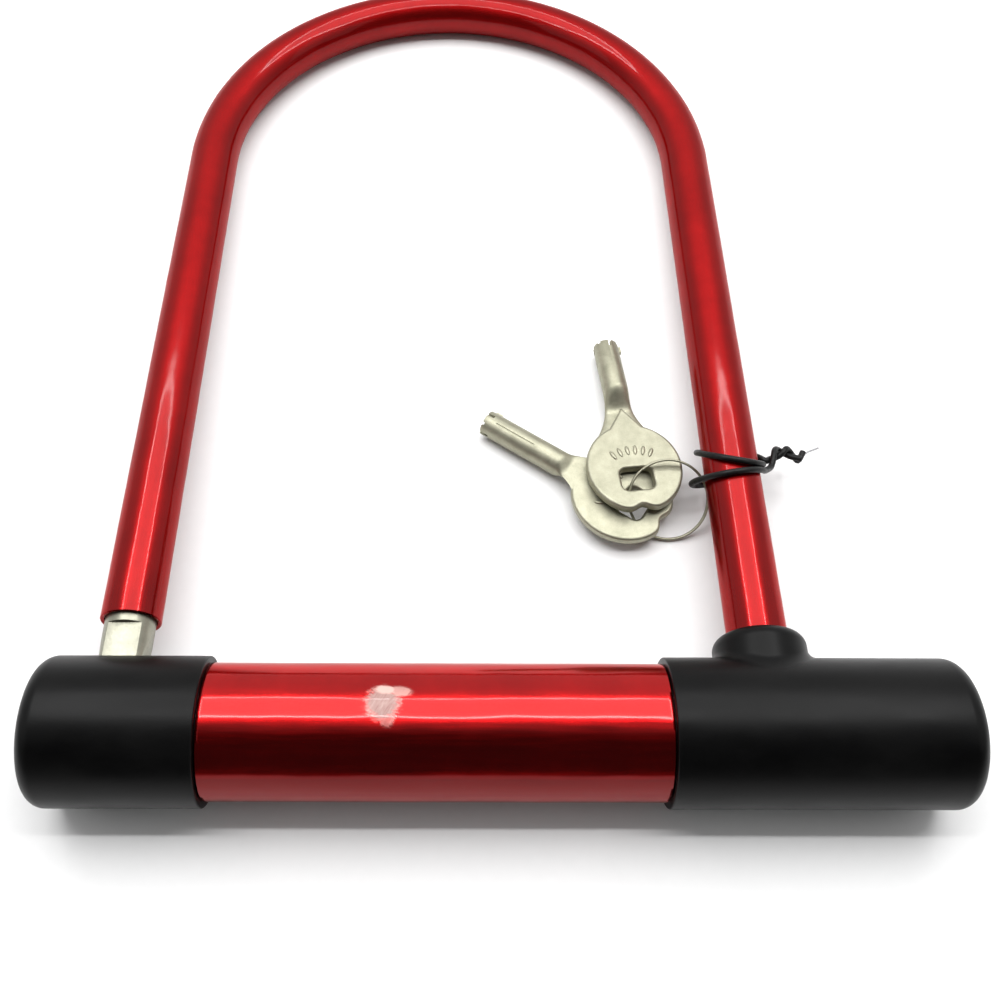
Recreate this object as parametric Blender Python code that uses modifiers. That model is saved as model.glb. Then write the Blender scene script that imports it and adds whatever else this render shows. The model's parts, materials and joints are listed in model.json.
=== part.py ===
"""U lock with a tubular lock cylinder, and its two keys on a split ring.

The lock lies on the surface z = 0. The crossbar lies along X and the two legs of the shackle run along +Y.
Most pieces are laid out in the lock frame: its origin is on the crossbar's axis midway between the legs,
X along the crossbar, Y along the legs and Z square to the plane of the U. That frame leans by REST_TILT,
because the bend of the shackle is thinner than the crossbar and both touch the surface.
The keys, their ring and the wire tie are laid out in the ground frame: the same X, with Y measured
along the surface from the crossbar's axis and Z up from the surface. Lengths are in metres.
"""

from math import acos, asin, cos, exp, hypot, pi, radians, sin, tan

import bmesh
import bpy
from mathutils import Euler, Matrix, Vector

MM = 0.001
GAP = 0.3 * MM          # clearance left between pieces that touch in the real lock
MERGE = 1e-6            # weld distance for coincident points
REACH = 10 * MM         # how far a cutter runs on past the piece it cuts
SMOOTH_ANGLE = radians(40)

# Shackle
LEG_X = 81.3 * MM               # half the distance between the legs
LEG_STRAIGHT = 198.5 * MM       # crossbar axis to the start of the bend
BEND_RADIUS = LEG_X             # the bend is a half circle
BAR_RADIUS = 6.5 * MM
SLEEVE_RADIUS = 7.85 * MM       # outside of the film on the shackle
SLEEVE_WALL = 1.05 * MM
SLEEVE_LEFT_END = 28.5 * MM     # Y where the film stops above the bare left foot
SLEEVE_RIGHT_END = 15.7 * MM    # Y where the film stops inside the collar
LEG_END = -10.0 * MM            # Y of the tips of both legs
TIP_CHAMFER = 1.5 * MM
NOTCH_DEPTH = 5.0 * MM          # cut in the right leg for the bolt
NOTCH_HALF = 5.0 * MM
FOOT_FLAT = 4.9 * MM            # half the thickness of the milled left foot
FOOT_FLAT_START = 26.3 * MM
FOOT_TAPER = radians(7.0)       # lean of the two milled sides of the left foot
FOOT_TAPER_LENGTH = 12.0 * MM   # the sides run straight beyond this
BEND_STEPS = 26
BAR_SIDES = 16

# Crossbar
CAP_RADIUS = 18.0 * MM
CAP_CORNER = 4.4 * MM           # rounding of the closed ends
CAP_BORE = 15.3 * MM
CAP_RIM = 0.5 * MM              # small chamfer at the open rims
LEFT_END = -100.3 * MM
LEFT_RIM = -57.6 * MM
RIGHT_RIM = 54.8 * MM
RIGHT_END = 129.6 * MM
TUBE_RADIUS = 15.0 * MM
TUBE_BORE = 12.5 * MM
TUBE_LEFT = LEFT_END + 3.6 * MM
TUBE_RIGHT = RIGHT_END - 7.0 * MM
FILM_RADIUS = 16.5 * MM         # outside of the film on the crossbar
LEG_HOLE = 6.9 * MM             # holes in the tube for the legs
FOOT_HOLE = 7.1 * MM            # hole in the left cap for the bare foot
COLLAR_RADIUS = 12.0 * MM
COLLAR_TOP = 24.4 * MM
COLLAR_ROUND = 3.4 * MM
KEY_HOLE = 8.4 * MM             # opening in the right cap around the lock's nose
CORE_RADIUS = TUBE_BORE - GAP   # pieces that fill the tube

# Lock cylinder, all places along X
NOSE_FACE = RIGHT_END - 1.0 * MM
NOSE_RADIUS = 8.0 * MM
SHELL_FRONT = TUBE_RIGHT - 0.1 * MM
SHELL_BACK = 107.7 * MM
SHELL_BORE = 8.0 * MM
KEYWAY_RADIUS = 4.1 * MM
KEYWAY_DEPTH = 121.8 * MM       # where the keyway meets the spindle's disc
POST_RADIUS = 2.4 * MM
DISC_RADIUS = SHELL_BORE - GAP
DISC_FRONT = KEYWAY_DEPTH - GAP
DISC_BACK = 117.7 * MM
SHAFT_RADIUS = 1.9 * MM
SHAFT_END = 97.1 * MM
GROOVE_RADIUS = 1.4 * MM
GROOVE_WIDTH = 1.3 * MM
CLIP_WIDTH = 0.7 * MM
CLIP_RADIUS = 4.2 * MM
BARREL_FRONT = DISC_BACK - GAP
BARREL_BACK = 108.5 * MM
PIN_COUNT = 7
PIN_CIRCLE = 3.3 * MM
PIN_RADIUS = 0.62 * MM
PIN_HOLE = 0.75 * MM
SPRING_BACK = 110.0 * MM
SPRING_FRONT = 113.9 * MM
SPRING_TURNS = 4
SPRING_WIRE = 0.15 * MM
SPRING_RADIUS = 0.5 * MM

# Bolt and its drive, all places along X
BOLT_TIP = 88.2 * MM
BOLT_HALF = 4.2 * MM            # half the side of the square nose
BOLT_TRAVEL = 5.0 * MM
BOLT_TURN = radians(90)         # turn of the spindle for that travel
BOLT_BORE_END = 96.7 * MM
BOLT_BACK = 107.1 * MM
BOLT_SLEEVE = 6.0 * MM
GUIDE_FRONT = 88.6 * MM
GUIDE_WINDOW_END = 91.2 * MM
GUIDE_BACK = 107.4 * MM
DRIVE_PIN_X = 99.5 * MM
DRIVE_PIN_RADIUS = 0.8 * MM
DRIVE_PIN_HALF = 5.6 * MM

# Cross pins that hold the inner pieces: radius and places along X
DOWEL_RADIUS = 1.5 * MM
SOCKET_DOWEL_X = -92.3 * MM
GUIDE_DOWEL_X = 97.0 * MM
SHELL_DOWEL_X = 113.5 * MM
SOCKET_DOWEL_DEPTH = 7.2 * MM   # distance of each dowel's inner end from the axis
GUIDE_DOWEL_DEPTH = 7.6 * MM
SHELL_DOWEL_DEPTH = 9.2 * MM
BARREL_PIN_X = 112.8 * MM
BARREL_PIN_RADIUS = 0.9 * MM
BARREL_PIN_DEPTH = 5.0 * MM     # how near its hole comes to the axis

# Keys
BOW_WIDE = 13.9 * MM            # half the width of the oval bow
BOW_LONG = 15.0 * MM            # half its length
BOW_Y = -0.7 * MM
BOW_HALF = 1.5 * MM             # half the thickness of the bow
BOW_RISE = 0.5 * MM             # the bow's mid-plane above the barrel's axis
TONGUE_TIP = 20.8 * MM
TONGUE_HALF = 4.9 * MM
HOLLOW_DEPTH = 2.2 * MM         # rounded hollow in the bow's far edge
HOLLOW_WIDTH = radians(12)
KEY_SLOT = (9.4 * MM, 7.6 * MM)     # ring hole in the bow
KEY_SLOT_Y = -4.9 * MM
KEY_SLOT_CORNER = 2.0 * MM
KEY_TIP = 46.3 * MM
KEY_RADIUS = 3.9 * MM           # round part of the barrel
KEY_BORE = 2.75 * MM
KEY_BORE_END = 29.0 * MM
PRESSED_END = 12.4 * MM         # the barrel's flat rear end, widened into wings
PRESSED_HALF = 8.6 * MM         # half its width there
PRESSED_TOP = -1.35 * MM
PRESSED_BOTTOM = -3.2 * MM
NECK_START = 21.1 * MM          # from here the barrel swells to its full round
NECK_END = 25.8 * MM
LUG_LENGTH = 2.2 * MM
LUG_HALF = 0.7 * MM
LUG_TOP = 4.5 * MM
KEY_CUTS = (1.2, 2.4, 0.8, 3.0, 1.6, 2.0, 2.6)      # depths in millimetres

# Split ring, wire tie and where the keys lie, in the ground frame
RING_CENTRE = Vector((64.2, 69.8, 6.8)) * MM
RING_RADIUS = 11.45 * MM
RING_WIRE = 0.35 * MM
RING_TILT = radians(31.3)       # far side up
RING_LIFT = 0.82 * MM           # distance between the two turns
RING_HOOK = radians(27)         # where on the ring the tie catches it
RING_START = radians(136)       # where on the ring its lower wire end is
TIE_WIRE = 0.9 * MM
TIE_ALONG_LEG = (74.2, 71.4, 76.9, 80.6, 79.6)      # Y at each half turn round the leg, in millimetres
TIE_LEAN = (3.0 * MM, 5.5 * MM)  # how far the top of each turn leans towards the crossbar
TIE_BULGE = 3.2 * MM            # the strand stands off the leg to make room for the ring
TIE_BULGE_AT = radians(218)
TIE_BULGE_WIDTH = radians(42)
TWIST_LINE = ((92.8, 77.6, 13.6), (97.0, 86.5, 12.8), (103.0, 80.6, 10.6))      # in millimetres
TWIST_TAIL = ((104.8, 84.2, 9.6), (107.4, 85.2, 8.0), (110.6, 87.2, 6.6))
TWIST_RADIUS = 1.12 * MM
TWIST_TURNS = 1.25
KEY_POSES = (
    # (name, middle of the bow, hinge point at the ring, heading of the tip from +Y, slope of the key)
    ("key_1", Vector((54.6, 79.2, 8.65)) * MM, Vector((54.65, 74.5, 8.65)) * MM,
     radians(5.9), radians(-5.8)),
    ("key_2", Vector((50.4, 71.4, 4.8)) * MM, Vector((53.4, 67.2, 4.8)) * MM, radians(56.3), radians(-1.1)),
)

REST_TILT = asin((CAP_RADIUS - SLEEVE_RADIUS) / (LEG_STRAIGHT + BEND_RADIUS))
DEPTH = (LEG_STRAIGHT + BEND_RADIUS) * cos(REST_TILT) + SLEEVE_RADIUS

MATERIALS = {
    "red_film": ((0.55, 0.012, 0.02), 0.22, 0.75),
    "black_plastic": ((0.022, 0.022, 0.024), 0.5, 0.0),
    "nickel": ((0.72, 0.68, 0.58), 0.28, 1.0),
    "bar_steel": ((0.6, 0.58, 0.52), 0.32, 1.0),
    "tube_steel": ((0.42, 0.42, 0.43), 0.4, 1.0),
    "zinc": ((0.5, 0.5, 0.51), 0.45, 1.0),
    "brass": ((0.72, 0.52, 0.22), 0.3, 1.0),
    "spring_steel": ((0.55, 0.55, 0.56), 0.25, 1.0),
    "tie_plastic": ((0.01, 0.01, 0.01), 0.45, 0.0),
}


# ---------------------------------------------------------------- scene helpers

def clear_scene():
    for obj in list(bpy.data.objects):
        bpy.data.objects.remove(obj, do_unlink=True)


def new_collection(name):
    collection = bpy.data.collections.new(name)
    bpy.context.scene.collection.children.link(collection)
    return collection


def new_material(name):
    colour, roughness, metallic = MATERIALS[name]
    material = bpy.data.materials.new(name)
    material.use_nodes = True
    shader = material.node_tree.nodes["Principled BSDF"]
    shader.inputs["Base Color"].default_value = (*colour, 1.0)
    shader.inputs["Roughness"].default_value = roughness
    shader.inputs["Metallic"].default_value = metallic
    return material


def new_empty(name, parent=None, location=(0, 0, 0), rotation=(0, 0, 0)):
    empty = bpy.data.objects.new(name, None)
    empty.empty_display_size = 0.01
    empty.location = location
    empty.rotation_euler = rotation
    empty.parent = parent
    parts.objects.link(empty)
    return empty


def add_part(name, data, material, parent, location=(0, 0, 0), rotation=(0, 0, 0)):
    """Put a mesh or curve in the object's collection as one sub-part."""
    obj = bpy.data.objects.new(name, data)
    own_material = new_material(material)
    own_material.name = name + "_finish"
    data.materials.append(own_material)
    obj.parent = parent
    obj.location = location
    obj.rotation_euler = rotation
    parts.objects.link(obj)
    return obj


def add_cutter(name, mesh, parent, location=(0, 0, 0), rotation=(0, 0, 0)):
    """Put a helper solid in the cutters' collection."""
    obj = bpy.data.objects.new(name, mesh)
    obj.parent = parent
    obj.location = location
    obj.rotation_euler = rotation
    obj.display_type = "WIRE"
    obj.hide_render = True
    cutters.objects.link(obj)
    return obj


def combine(obj, other, operation="DIFFERENCE"):
    """Cut the other solid away, or join it on."""
    modifier = obj.modifiers.new(other.name, "BOOLEAN")
    modifier.object = other
    modifier.operation = operation
    modifier.solver = "EXACT"


# ---------------------------------------------------------------- shape helpers

ALONG_X = (0, pi / 2, 0)        # turns a shape's own +Z to +X
ALONG_Y = (-pi / 2, 0, 0)       # turns a shape's own +Z to +Y


def smooth_step(value):
    """0 to 1 with level ends."""
    value = min(max(value, 0.0), 1.0)
    return value * value * (3 - 2 * value)


def arc(centre, radius, start, end, steps):
    """Points (radius, height) on an arc, angles in degrees, both ends included."""
    angles = [radians(start + (end - start) * i / steps) for i in range(steps + 1)]
    return [(centre[0] + radius * cos(a), centre[1] + radius * sin(a)) for a in angles]


def outline_mesh(name, outline, closed):
    """An outline of (radius, height) points as a wire in the XZ plane."""
    vertices = [(radius, 0.0, height) for radius, height in outline]
    edges = [(i, i + 1) for i in range(len(vertices) - 1)]
    if closed:
        edges.append((len(vertices) - 1, 0))
    mesh = bpy.data.meshes.new(name)
    mesh.from_pydata(vertices, edges, [])
    return mesh


def turn(obj, steps):
    """Revolve a wire outline about its own Z."""
    screw = obj.modifiers.new("turned", "SCREW")
    screw.axis = "Z"
    screw.steps = steps
    screw.render_steps = steps
    screw.use_merge_vertices = True
    screw.merge_threshold = MERGE
    screw.use_smooth_shade = True


def turned_part(name, outline, material, parent, steps=40, closed=False, rotation=ALONG_X):
    """A solid of revolution whose outline runs down its outer side."""
    obj = add_part(name, outline_mesh(name, outline, closed), material, parent, rotation=rotation)
    turn(obj, steps)
    return obj


def rod_mesh(name, rods, sides=16):
    """Cylinders as (start, end, radius) in one mesh."""
    shape = bmesh.new()
    for start, end, radius in rods:
        axis = Vector(end) - Vector(start)
        place = Matrix.Translation((Vector(start) + Vector(end)) / 2)
        turn_to_axis = axis.to_track_quat("Z", "Y").to_matrix().to_4x4()
        bmesh.ops.create_cone(shape, cap_ends=True, segments=sides, radius1=radius, radius2=radius,
                              depth=axis.length, matrix=place @ turn_to_axis)
    mesh = bpy.data.meshes.new(name)
    shape.to_mesh(mesh)
    shape.free()
    mesh.shade_smooth()
    mesh.set_sharp_from_angle(angle=SMOOTH_ANGLE)
    return mesh


def box_mesh(name, low, high):
    """An upright box between two corners."""
    shape = bmesh.new()
    size = [b - a for a, b in zip(low, high)]
    middle = [(a + b) / 2 for a, b in zip(low, high)]
    scale = Matrix.Diagonal((*size, 1.0))
    bmesh.ops.create_cube(shape, size=1.0, matrix=Matrix.Translation(middle) @ scale)
    mesh = bpy.data.meshes.new(name)
    shape.to_mesh(mesh)
    shape.free()
    return mesh


def loft_mesh(name, sections):
    """A closed solid through sections with equal numbers of points."""
    shape = bmesh.new()
    rings = [[shape.verts.new(point) for point in section] for section in sections]
    count = len(rings[0])
    for ring, following in zip(rings, rings[1:]):
        for i in range(count):
            j = (i + 1) % count
            shape.faces.new((ring[i], ring[j], following[j], following[i]))
    shape.faces.new(rings[0])
    shape.faces.new(rings[-1])
    bmesh.ops.recalc_face_normals(shape, faces=shape.faces)
    mesh = bpy.data.meshes.new(name)
    shape.to_mesh(mesh)
    shape.free()
    return mesh


def poly_curve(name, points, radius, resolution=2, radii=None, caps=True):
    """A round wire or tube along points."""
    curve = bpy.data.curves.new(name, "CURVE")
    curve.dimensions = "3D"
    curve.bevel_depth = radius
    curve.bevel_resolution = resolution
    curve.use_fill_caps = caps
    spline = curve.splines.new("POLY")
    spline.points.add(len(points) - 1)
    for i, point in enumerate(points):
        spline.points[i].co = (*point, 1.0)
        spline.points[i].radius = radii[i] if radii else 1.0
    return curve


def mesh_from_curve(name, curve):
    """The curve's surface as a mesh with its caps welded on."""
    holder = bpy.data.objects.new(name + "_curve", curve)
    parts.objects.link(holder)
    graph = bpy.context.evaluated_depsgraph_get()
    mesh = bpy.data.meshes.new_from_object(holder.evaluated_get(graph))
    bpy.data.objects.remove(holder)
    shape = bmesh.new()
    shape.from_mesh(mesh)
    bmesh.ops.remove_doubles(shape, verts=shape.verts, dist=MERGE)
    shape.to_mesh(mesh)
    shape.free()
    mesh.name = name
    mesh.materials.clear()
    mesh.shade_smooth()
    mesh.set_sharp_from_angle(angle=SMOOTH_ANGLE)
    return mesh


def flat_plate(name, outlines, half_thickness):
    """A flat plate from closed outlines; an inner outline is a hole."""
    curve = bpy.data.curves.new(name, "CURVE")
    curve.dimensions = "2D"
    curve.fill_mode = "BOTH"
    curve.extrude = half_thickness
    for outline in outlines:
        spline = curve.splines.new("POLY")
        spline.points.add(len(outline) - 1)
        for point, (x, y) in zip(spline.points, outline):
            point.co = (x, y, 0.0, 1.0)
        spline.use_cyclic_u = True
    return curve


# ---------------------------------------------------------------- shackle

def shackle_path(left_end, right_end):
    """The U from the left leg round the bend to the right leg."""
    bend = [pi - pi * i / BEND_STEPS for i in range(BEND_STEPS + 1)]
    points = [Vector((BEND_RADIUS * cos(a), LEG_STRAIGHT + BEND_RADIUS * sin(a), 0)) for a in bend]
    return [Vector((-LEG_X, left_end, 0)), *points, Vector((LEG_X, right_end, 0))]


def shackle_bar():
    """Round bar with the bolt notch in the right leg and a milled left foot."""
    path = shackle_path(LEG_END + TIP_CHAMFER, LEG_END + TIP_CHAMFER)
    path = [path[0] - Vector((0, TIP_CHAMFER, 0)), *path, path[-1] - Vector((0, TIP_CHAMFER, 0))]
    tip = 1 - TIP_CHAMFER / BAR_RADIUS
    radii = [tip, *[1.0] * (len(path) - 2), tip]
    curve = poly_curve("shackle_bar", path, BAR_RADIUS, resolution=BAR_SIDES // 2 - 2, radii=radii)
    bar = add_part("shackle_bar", mesh_from_curve("shackle_bar", curve), "bar_steel", lock_frame)

    notch_floor = LEG_X + BAR_RADIUS - NOTCH_DEPTH
    notch = box_mesh("bolt_notch", (notch_floor, -NOTCH_HALF, -REACH), (LEG_X + REACH, NOTCH_HALF, REACH))
    combine(bar, add_cutter("bolt_notch", notch, lock_frame))

    low, high = (-LEG_X - REACH, LEG_END - REACH), (-LEG_X + REACH, FOOT_FLAT_START)
    for side, z_low, z_high in (("top", FOOT_FLAT, REACH), ("bottom", -REACH, -FOOT_FLAT)):
        flat = box_mesh("foot_flat_" + side, (*low, z_low), (*high, z_high))
        combine(bar, add_cutter("foot_flat_" + side, flat, lock_frame))

    inset = BAR_RADIUS - FOOT_TAPER_LENGTH * tan(FOOT_TAPER)
    end = LEG_END - REACH
    profile = [(BAR_RADIUS, FOOT_FLAT_START), (inset, FOOT_FLAT_START - FOOT_TAPER_LENGTH), (inset, end),
               (REACH, end), (REACH, FOOT_FLAT_START)]
    for name, sign in (("foot_outer_side", -1), ("foot_inner_side", 1)):
        sections = [[(-LEG_X + sign * x, y, z) for x, y in profile] for z in (-REACH, REACH)]
        combine(bar, add_cutter(name, loft_mesh(name, sections), lock_frame))


def shackle_sleeve():
    """Thick film tube over the shackle, stopping short of the left foot."""
    path = shackle_path(SLEEVE_LEFT_END, SLEEVE_RIGHT_END)
    curve = poly_curve("shackle_sleeve", path, SLEEVE_RADIUS, resolution=BAR_SIDES // 2 - 2, caps=False)
    sleeve = add_part("shackle_sleeve", mesh_from_curve("shackle_sleeve", curve), "red_film", lock_frame)
    wall = sleeve.modifiers.new("wall", "SOLIDIFY")
    wall.thickness = SLEEVE_WALL
    wall.offset = -1.0
    return sleeve


# ---------------------------------------------------------------- crossbar

def dowel_holes(target, rods, name):
    combine(target, add_cutter(name, rod_mesh(name, rods, sides=12), lock_frame))


def crossbar_tube():
    """Steel tube with the two leg holes and the holes for the dowels."""
    outline = [(TUBE_RADIUS, TUBE_RIGHT), (TUBE_RADIUS, TUBE_LEFT),
               (TUBE_BORE, TUBE_LEFT), (TUBE_BORE, TUBE_RIGHT)]
    tube = turned_part("crossbar_tube", outline, "tube_steel", lock_frame, closed=True)
    top = CAP_RADIUS + COLLAR_TOP
    legs = [((x, 0, 0), (x, top, 0), LEG_HOLE) for x in (-LEG_X, LEG_X)]
    combine(tube, add_cutter("leg_holes", rod_mesh("leg_holes", legs, sides=24), lock_frame))
    hole = DOWEL_RADIUS + GAP
    front = [((x, -CAP_RADIUS, 0), (x, 0, 0), hole) for x in (SOCKET_DOWEL_X, GUIDE_DOWEL_X)]
    back = [((SHELL_DOWEL_X, 0, 0), (SHELL_DOWEL_X, CAP_RADIUS, 0), hole)]
    dowel_holes(tube, front + back, "tube_dowel_holes")
    return tube


def crossbar_sleeve():
    """Film tube between the two caps."""
    bore = TUBE_RADIUS + GAP
    left, right = LEFT_RIM + GAP, RIGHT_RIM - GAP
    outline = [(FILM_RADIUS, right), (FILM_RADIUS, left), (bore, left), (bore, right)]
    return turned_part("crossbar_sleeve", outline, "red_film", lock_frame, closed=True)


def left_end_cap():
    """Short moulded cap with a plain hole for the bare foot."""
    corner = (CAP_RADIUS - CAP_CORNER, LEFT_END + CAP_CORNER)
    inner_end = TUBE_LEFT - GAP
    outline = [(0, inner_end), (CAP_BORE, inner_end), (CAP_BORE, LEFT_RIM),
               (CAP_RADIUS - CAP_RIM, LEFT_RIM), (CAP_RADIUS, LEFT_RIM - CAP_RIM),
               *arc(corner, CAP_CORNER, 0, -90, 5), (0, LEFT_END)]
    cap = turned_part("left_end_cap", outline, "black_plastic", lock_frame)
    foot = [((-LEG_X, 0, 0), (-LEG_X, CAP_RADIUS + COLLAR_TOP, 0), FOOT_HOLE)]
    combine(cap, add_cutter("foot_hole", rod_mesh("foot_hole", foot, sides=24), lock_frame))
    return cap


def collar_boss():
    """Solid collar around the right leg, turned about the leg and rooted inside the cap."""
    rim = (COLLAR_RADIUS - COLLAR_ROUND, COLLAR_TOP - COLLAR_ROUND)
    root = CAP_RADIUS / 2
    outline = [(0, COLLAR_TOP), *arc(rim, COLLAR_ROUND, 90, 0, 4), (COLLAR_RADIUS, root), (0, root)]
    boss = add_cutter("collar_boss", outline_mesh("collar_boss", outline, False), lock_frame,
                      (LEG_X, 0, 0), ALONG_Y)
    turn(boss, 28)
    return boss


def right_end_cap():
    """Long moulded cap with the leg collar and the opening for the lock's nose."""
    corner = (CAP_RADIUS - CAP_CORNER, RIGHT_END - CAP_CORNER)
    outline = [(0, RIGHT_END), *arc(corner, CAP_CORNER, 90, 0, 5), (CAP_RADIUS, RIGHT_RIM + CAP_RIM),
               (CAP_RADIUS - CAP_RIM, RIGHT_RIM), (0, RIGHT_RIM)]
    cap = turned_part("right_end_cap", outline, "black_plastic", lock_frame)
    combine(cap, collar_boss(), "UNION")
    bore = [((RIGHT_RIM - REACH, 0, 0), (TUBE_RIGHT + GAP, 0, 0), CAP_BORE)]
    combine(cap, add_cutter("cap_bore", rod_mesh("cap_bore", bore, sides=40), lock_frame))
    leg = [((LEG_X, 0, 0), (LEG_X, COLLAR_TOP + REACH, 0), SLEEVE_RADIUS + GAP)]
    combine(cap, add_cutter("leg_bore", rod_mesh("leg_bore", leg, sides=24), lock_frame))
    key = [((TUBE_RIGHT, 0, 0), (RIGHT_END + REACH, 0, 0), KEY_HOLE)]
    combine(cap, add_cutter("nose_opening", rod_mesh("nose_opening", key, sides=32), lock_frame))
    return cap


def foot_socket():
    """Plug that closes the left end of the tube and holds the bare foot."""
    left, right = TUBE_LEFT + 0.2 * MM, 2 * -LEG_X - TUBE_LEFT
    outline = [(0, right), (CORE_RADIUS, right), (CORE_RADIUS, left), (0, left)]
    socket = turned_part("foot_socket", outline, "zinc", lock_frame, steps=32)
    pocket = [((-LEG_X, LEG_END - 0.6 * MM, 0), (-LEG_X, CAP_RADIUS, 0), LEG_HOLE)]
    combine(socket, add_cutter("foot_pocket", rod_mesh("foot_pocket", pocket, sides=24), lock_frame))
    hole = ((SOCKET_DOWEL_X, -CAP_RADIUS, 0), (SOCKET_DOWEL_X, GAP - SOCKET_DOWEL_DEPTH, 0),
            DOWEL_RADIUS + GAP)
    dowel_holes(socket, [hole], "socket_dowel_hole")
    return socket


def dowel(name, x, inner, side):
    """Short pin from inside the tube's wall inwards, on the side +Y or -Y."""
    outer = TUBE_RADIUS - 0.15 * MM
    rod = rod_mesh(name, [((0, side * inner, 0), (0, side * outer, 0), DOWEL_RADIUS)], sides=12)
    return add_part(name, rod, "spring_steel", lock_frame, (x, 0, 0))


# ---------------------------------------------------------------- lock cylinder

def chamber_places():
    """Directions (y, z) of the pin chambers, the first at +Y."""
    angles = [2 * pi * i / PIN_COUNT for i in range(PIN_COUNT)]
    return [(PIN_CIRCLE * cos(a), PIN_CIRCLE * sin(a)) for a in angles]


def lock_shell():
    """Housing with the round keyway in its nose."""
    edge = 0.6 * MM
    outline = [(KEYWAY_RADIUS, NOSE_FACE), (NOSE_RADIUS - edge, NOSE_FACE), (NOSE_RADIUS, NOSE_FACE - edge),
               (NOSE_RADIUS, SHELL_FRONT), (CORE_RADIUS, SHELL_FRONT), (CORE_RADIUS, SHELL_BACK),
               (SHELL_BORE, SHELL_BACK), (SHELL_BORE, KEYWAY_DEPTH), (KEYWAY_RADIUS, KEYWAY_DEPTH)]
    shell = turned_part("lock_shell", outline, "nickel", lock_frame, steps=32, closed=True)
    half = LUG_HALF + GAP
    slot = box_mesh("key_lug_slot", (NOSE_FACE - LUG_LENGTH - MM, KEYWAY_RADIUS - MM, -half),
                    (RIGHT_END, LUG_TOP + GAP, half))
    combine(shell, add_cutter("key_lug_slot", slot, lock_frame))
    rods = [((SHELL_DOWEL_X, SHELL_DOWEL_DEPTH - GAP, 0), (SHELL_DOWEL_X, CAP_RADIUS, 0),
             DOWEL_RADIUS + GAP),
            ((BARREL_PIN_X, -CAP_RADIUS, 0), (BARREL_PIN_X, -BARREL_PIN_DEPTH, 0),
             BARREL_PIN_RADIUS + GAP)]
    dowel_holes(shell, rods, "shell_pin_holes")
    return shell


def pin_barrel():
    """Fixed block behind the spindle's disc, with a chamber for each spring and driver pin."""
    bore = SHAFT_RADIUS + GAP
    outline = [(bore, BARREL_FRONT), (DISC_RADIUS, BARREL_FRONT),
               (DISC_RADIUS, BARREL_BACK), (bore, BARREL_BACK)]
    barrel = turned_part("pin_barrel", outline, "brass", lock_frame, steps=32, closed=True)
    chambers = [((SPRING_BACK - GAP, y, z), (BARREL_FRONT + MM, y, z), PIN_HOLE)
                for y, z in chamber_places()]
    combine(barrel, add_cutter("chambers", rod_mesh("chambers", chambers, sides=8), lock_frame))
    hole = ((BARREL_PIN_X, -REACH, 0), (BARREL_PIN_X, -BARREL_PIN_DEPTH, 0), BARREL_PIN_RADIUS + GAP)
    dowel_holes(barrel, [hole], "barrel_pin_hole")
    return barrel


def barrel_pin():
    ends = (0, -CORE_RADIUS + GAP, 0), (0, -BARREL_PIN_DEPTH - GAP, 0)
    rod = rod_mesh("pin_barrel_pin", [(*ends, BARREL_PIN_RADIUS)], sides=10)
    return add_part("pin_barrel_pin", rod, "spring_steel", lock_frame, (BARREL_PIN_X, 0, 0))


def lock_spindle():
    """Turning core: centre post, disc with the key pins' holes, and shaft to the bolt."""
    groove_front, groove_back = BARREL_BACK, BARREL_BACK - GROOVE_WIDTH
    edge = 0.4 * MM
    post_top = NOSE_FACE - edge
    outline = [(0, post_top), (POST_RADIUS - edge, post_top), (POST_RADIUS, post_top - edge),
               (POST_RADIUS, DISC_FRONT), (DISC_RADIUS, DISC_FRONT), (DISC_RADIUS, DISC_BACK),
               (SHAFT_RADIUS, DISC_BACK), (SHAFT_RADIUS, groove_front), (GROOVE_RADIUS, groove_front),
               (GROOVE_RADIUS, groove_back), (SHAFT_RADIUS, groove_back),
               (SHAFT_RADIUS, SHAFT_END), (0, SHAFT_END)]
    spindle = turned_part("lock_spindle", outline, "nickel", lock_frame, steps=28)
    holes = [((DISC_BACK - MM, y, z), (DISC_FRONT + MM, y, z), PIN_HOLE) for y, z in chamber_places()]
    combine(spindle, add_cutter("disc_holes", rod_mesh("disc_holes", holes, sides=8), lock_frame))
    cross = [((DRIVE_PIN_X, 0, -REACH), (DRIVE_PIN_X, 0, REACH), DRIVE_PIN_RADIUS + GAP)]
    dowel_holes(spindle, cross, "shaft_cross_hole")
    return spindle


def spindle_clip():
    """Open clip in the shaft's groove, behind the pin barrel."""
    front, back = BARREL_BACK - GAP, BARREL_BACK - GAP - CLIP_WIDTH
    inner = GROOVE_RADIUS + GAP
    outline = [(CLIP_RADIUS, front), (CLIP_RADIUS, back), (inner, back), (inner, front)]
    clip = turned_part("spindle_clip", outline, "spring_steel", lock_frame, steps=24, closed=True)
    half = inner - GAP
    mouth = box_mesh("clip_mouth", (back - MM, -half, 0), (front + MM, half, REACH))
    combine(clip, add_cutter("clip_mouth", mouth, lock_frame))
    return clip


def drive_pin():
    rod = [((0, 0, -DRIVE_PIN_HALF), (0, 0, DRIVE_PIN_HALF), DRIVE_PIN_RADIUS)]
    return add_part("drive_pin", rod_mesh("drive_pin", rod, sides=12), "spring_steel", lock_frame,
                    (DRIVE_PIN_X, 0, 0))


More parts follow.
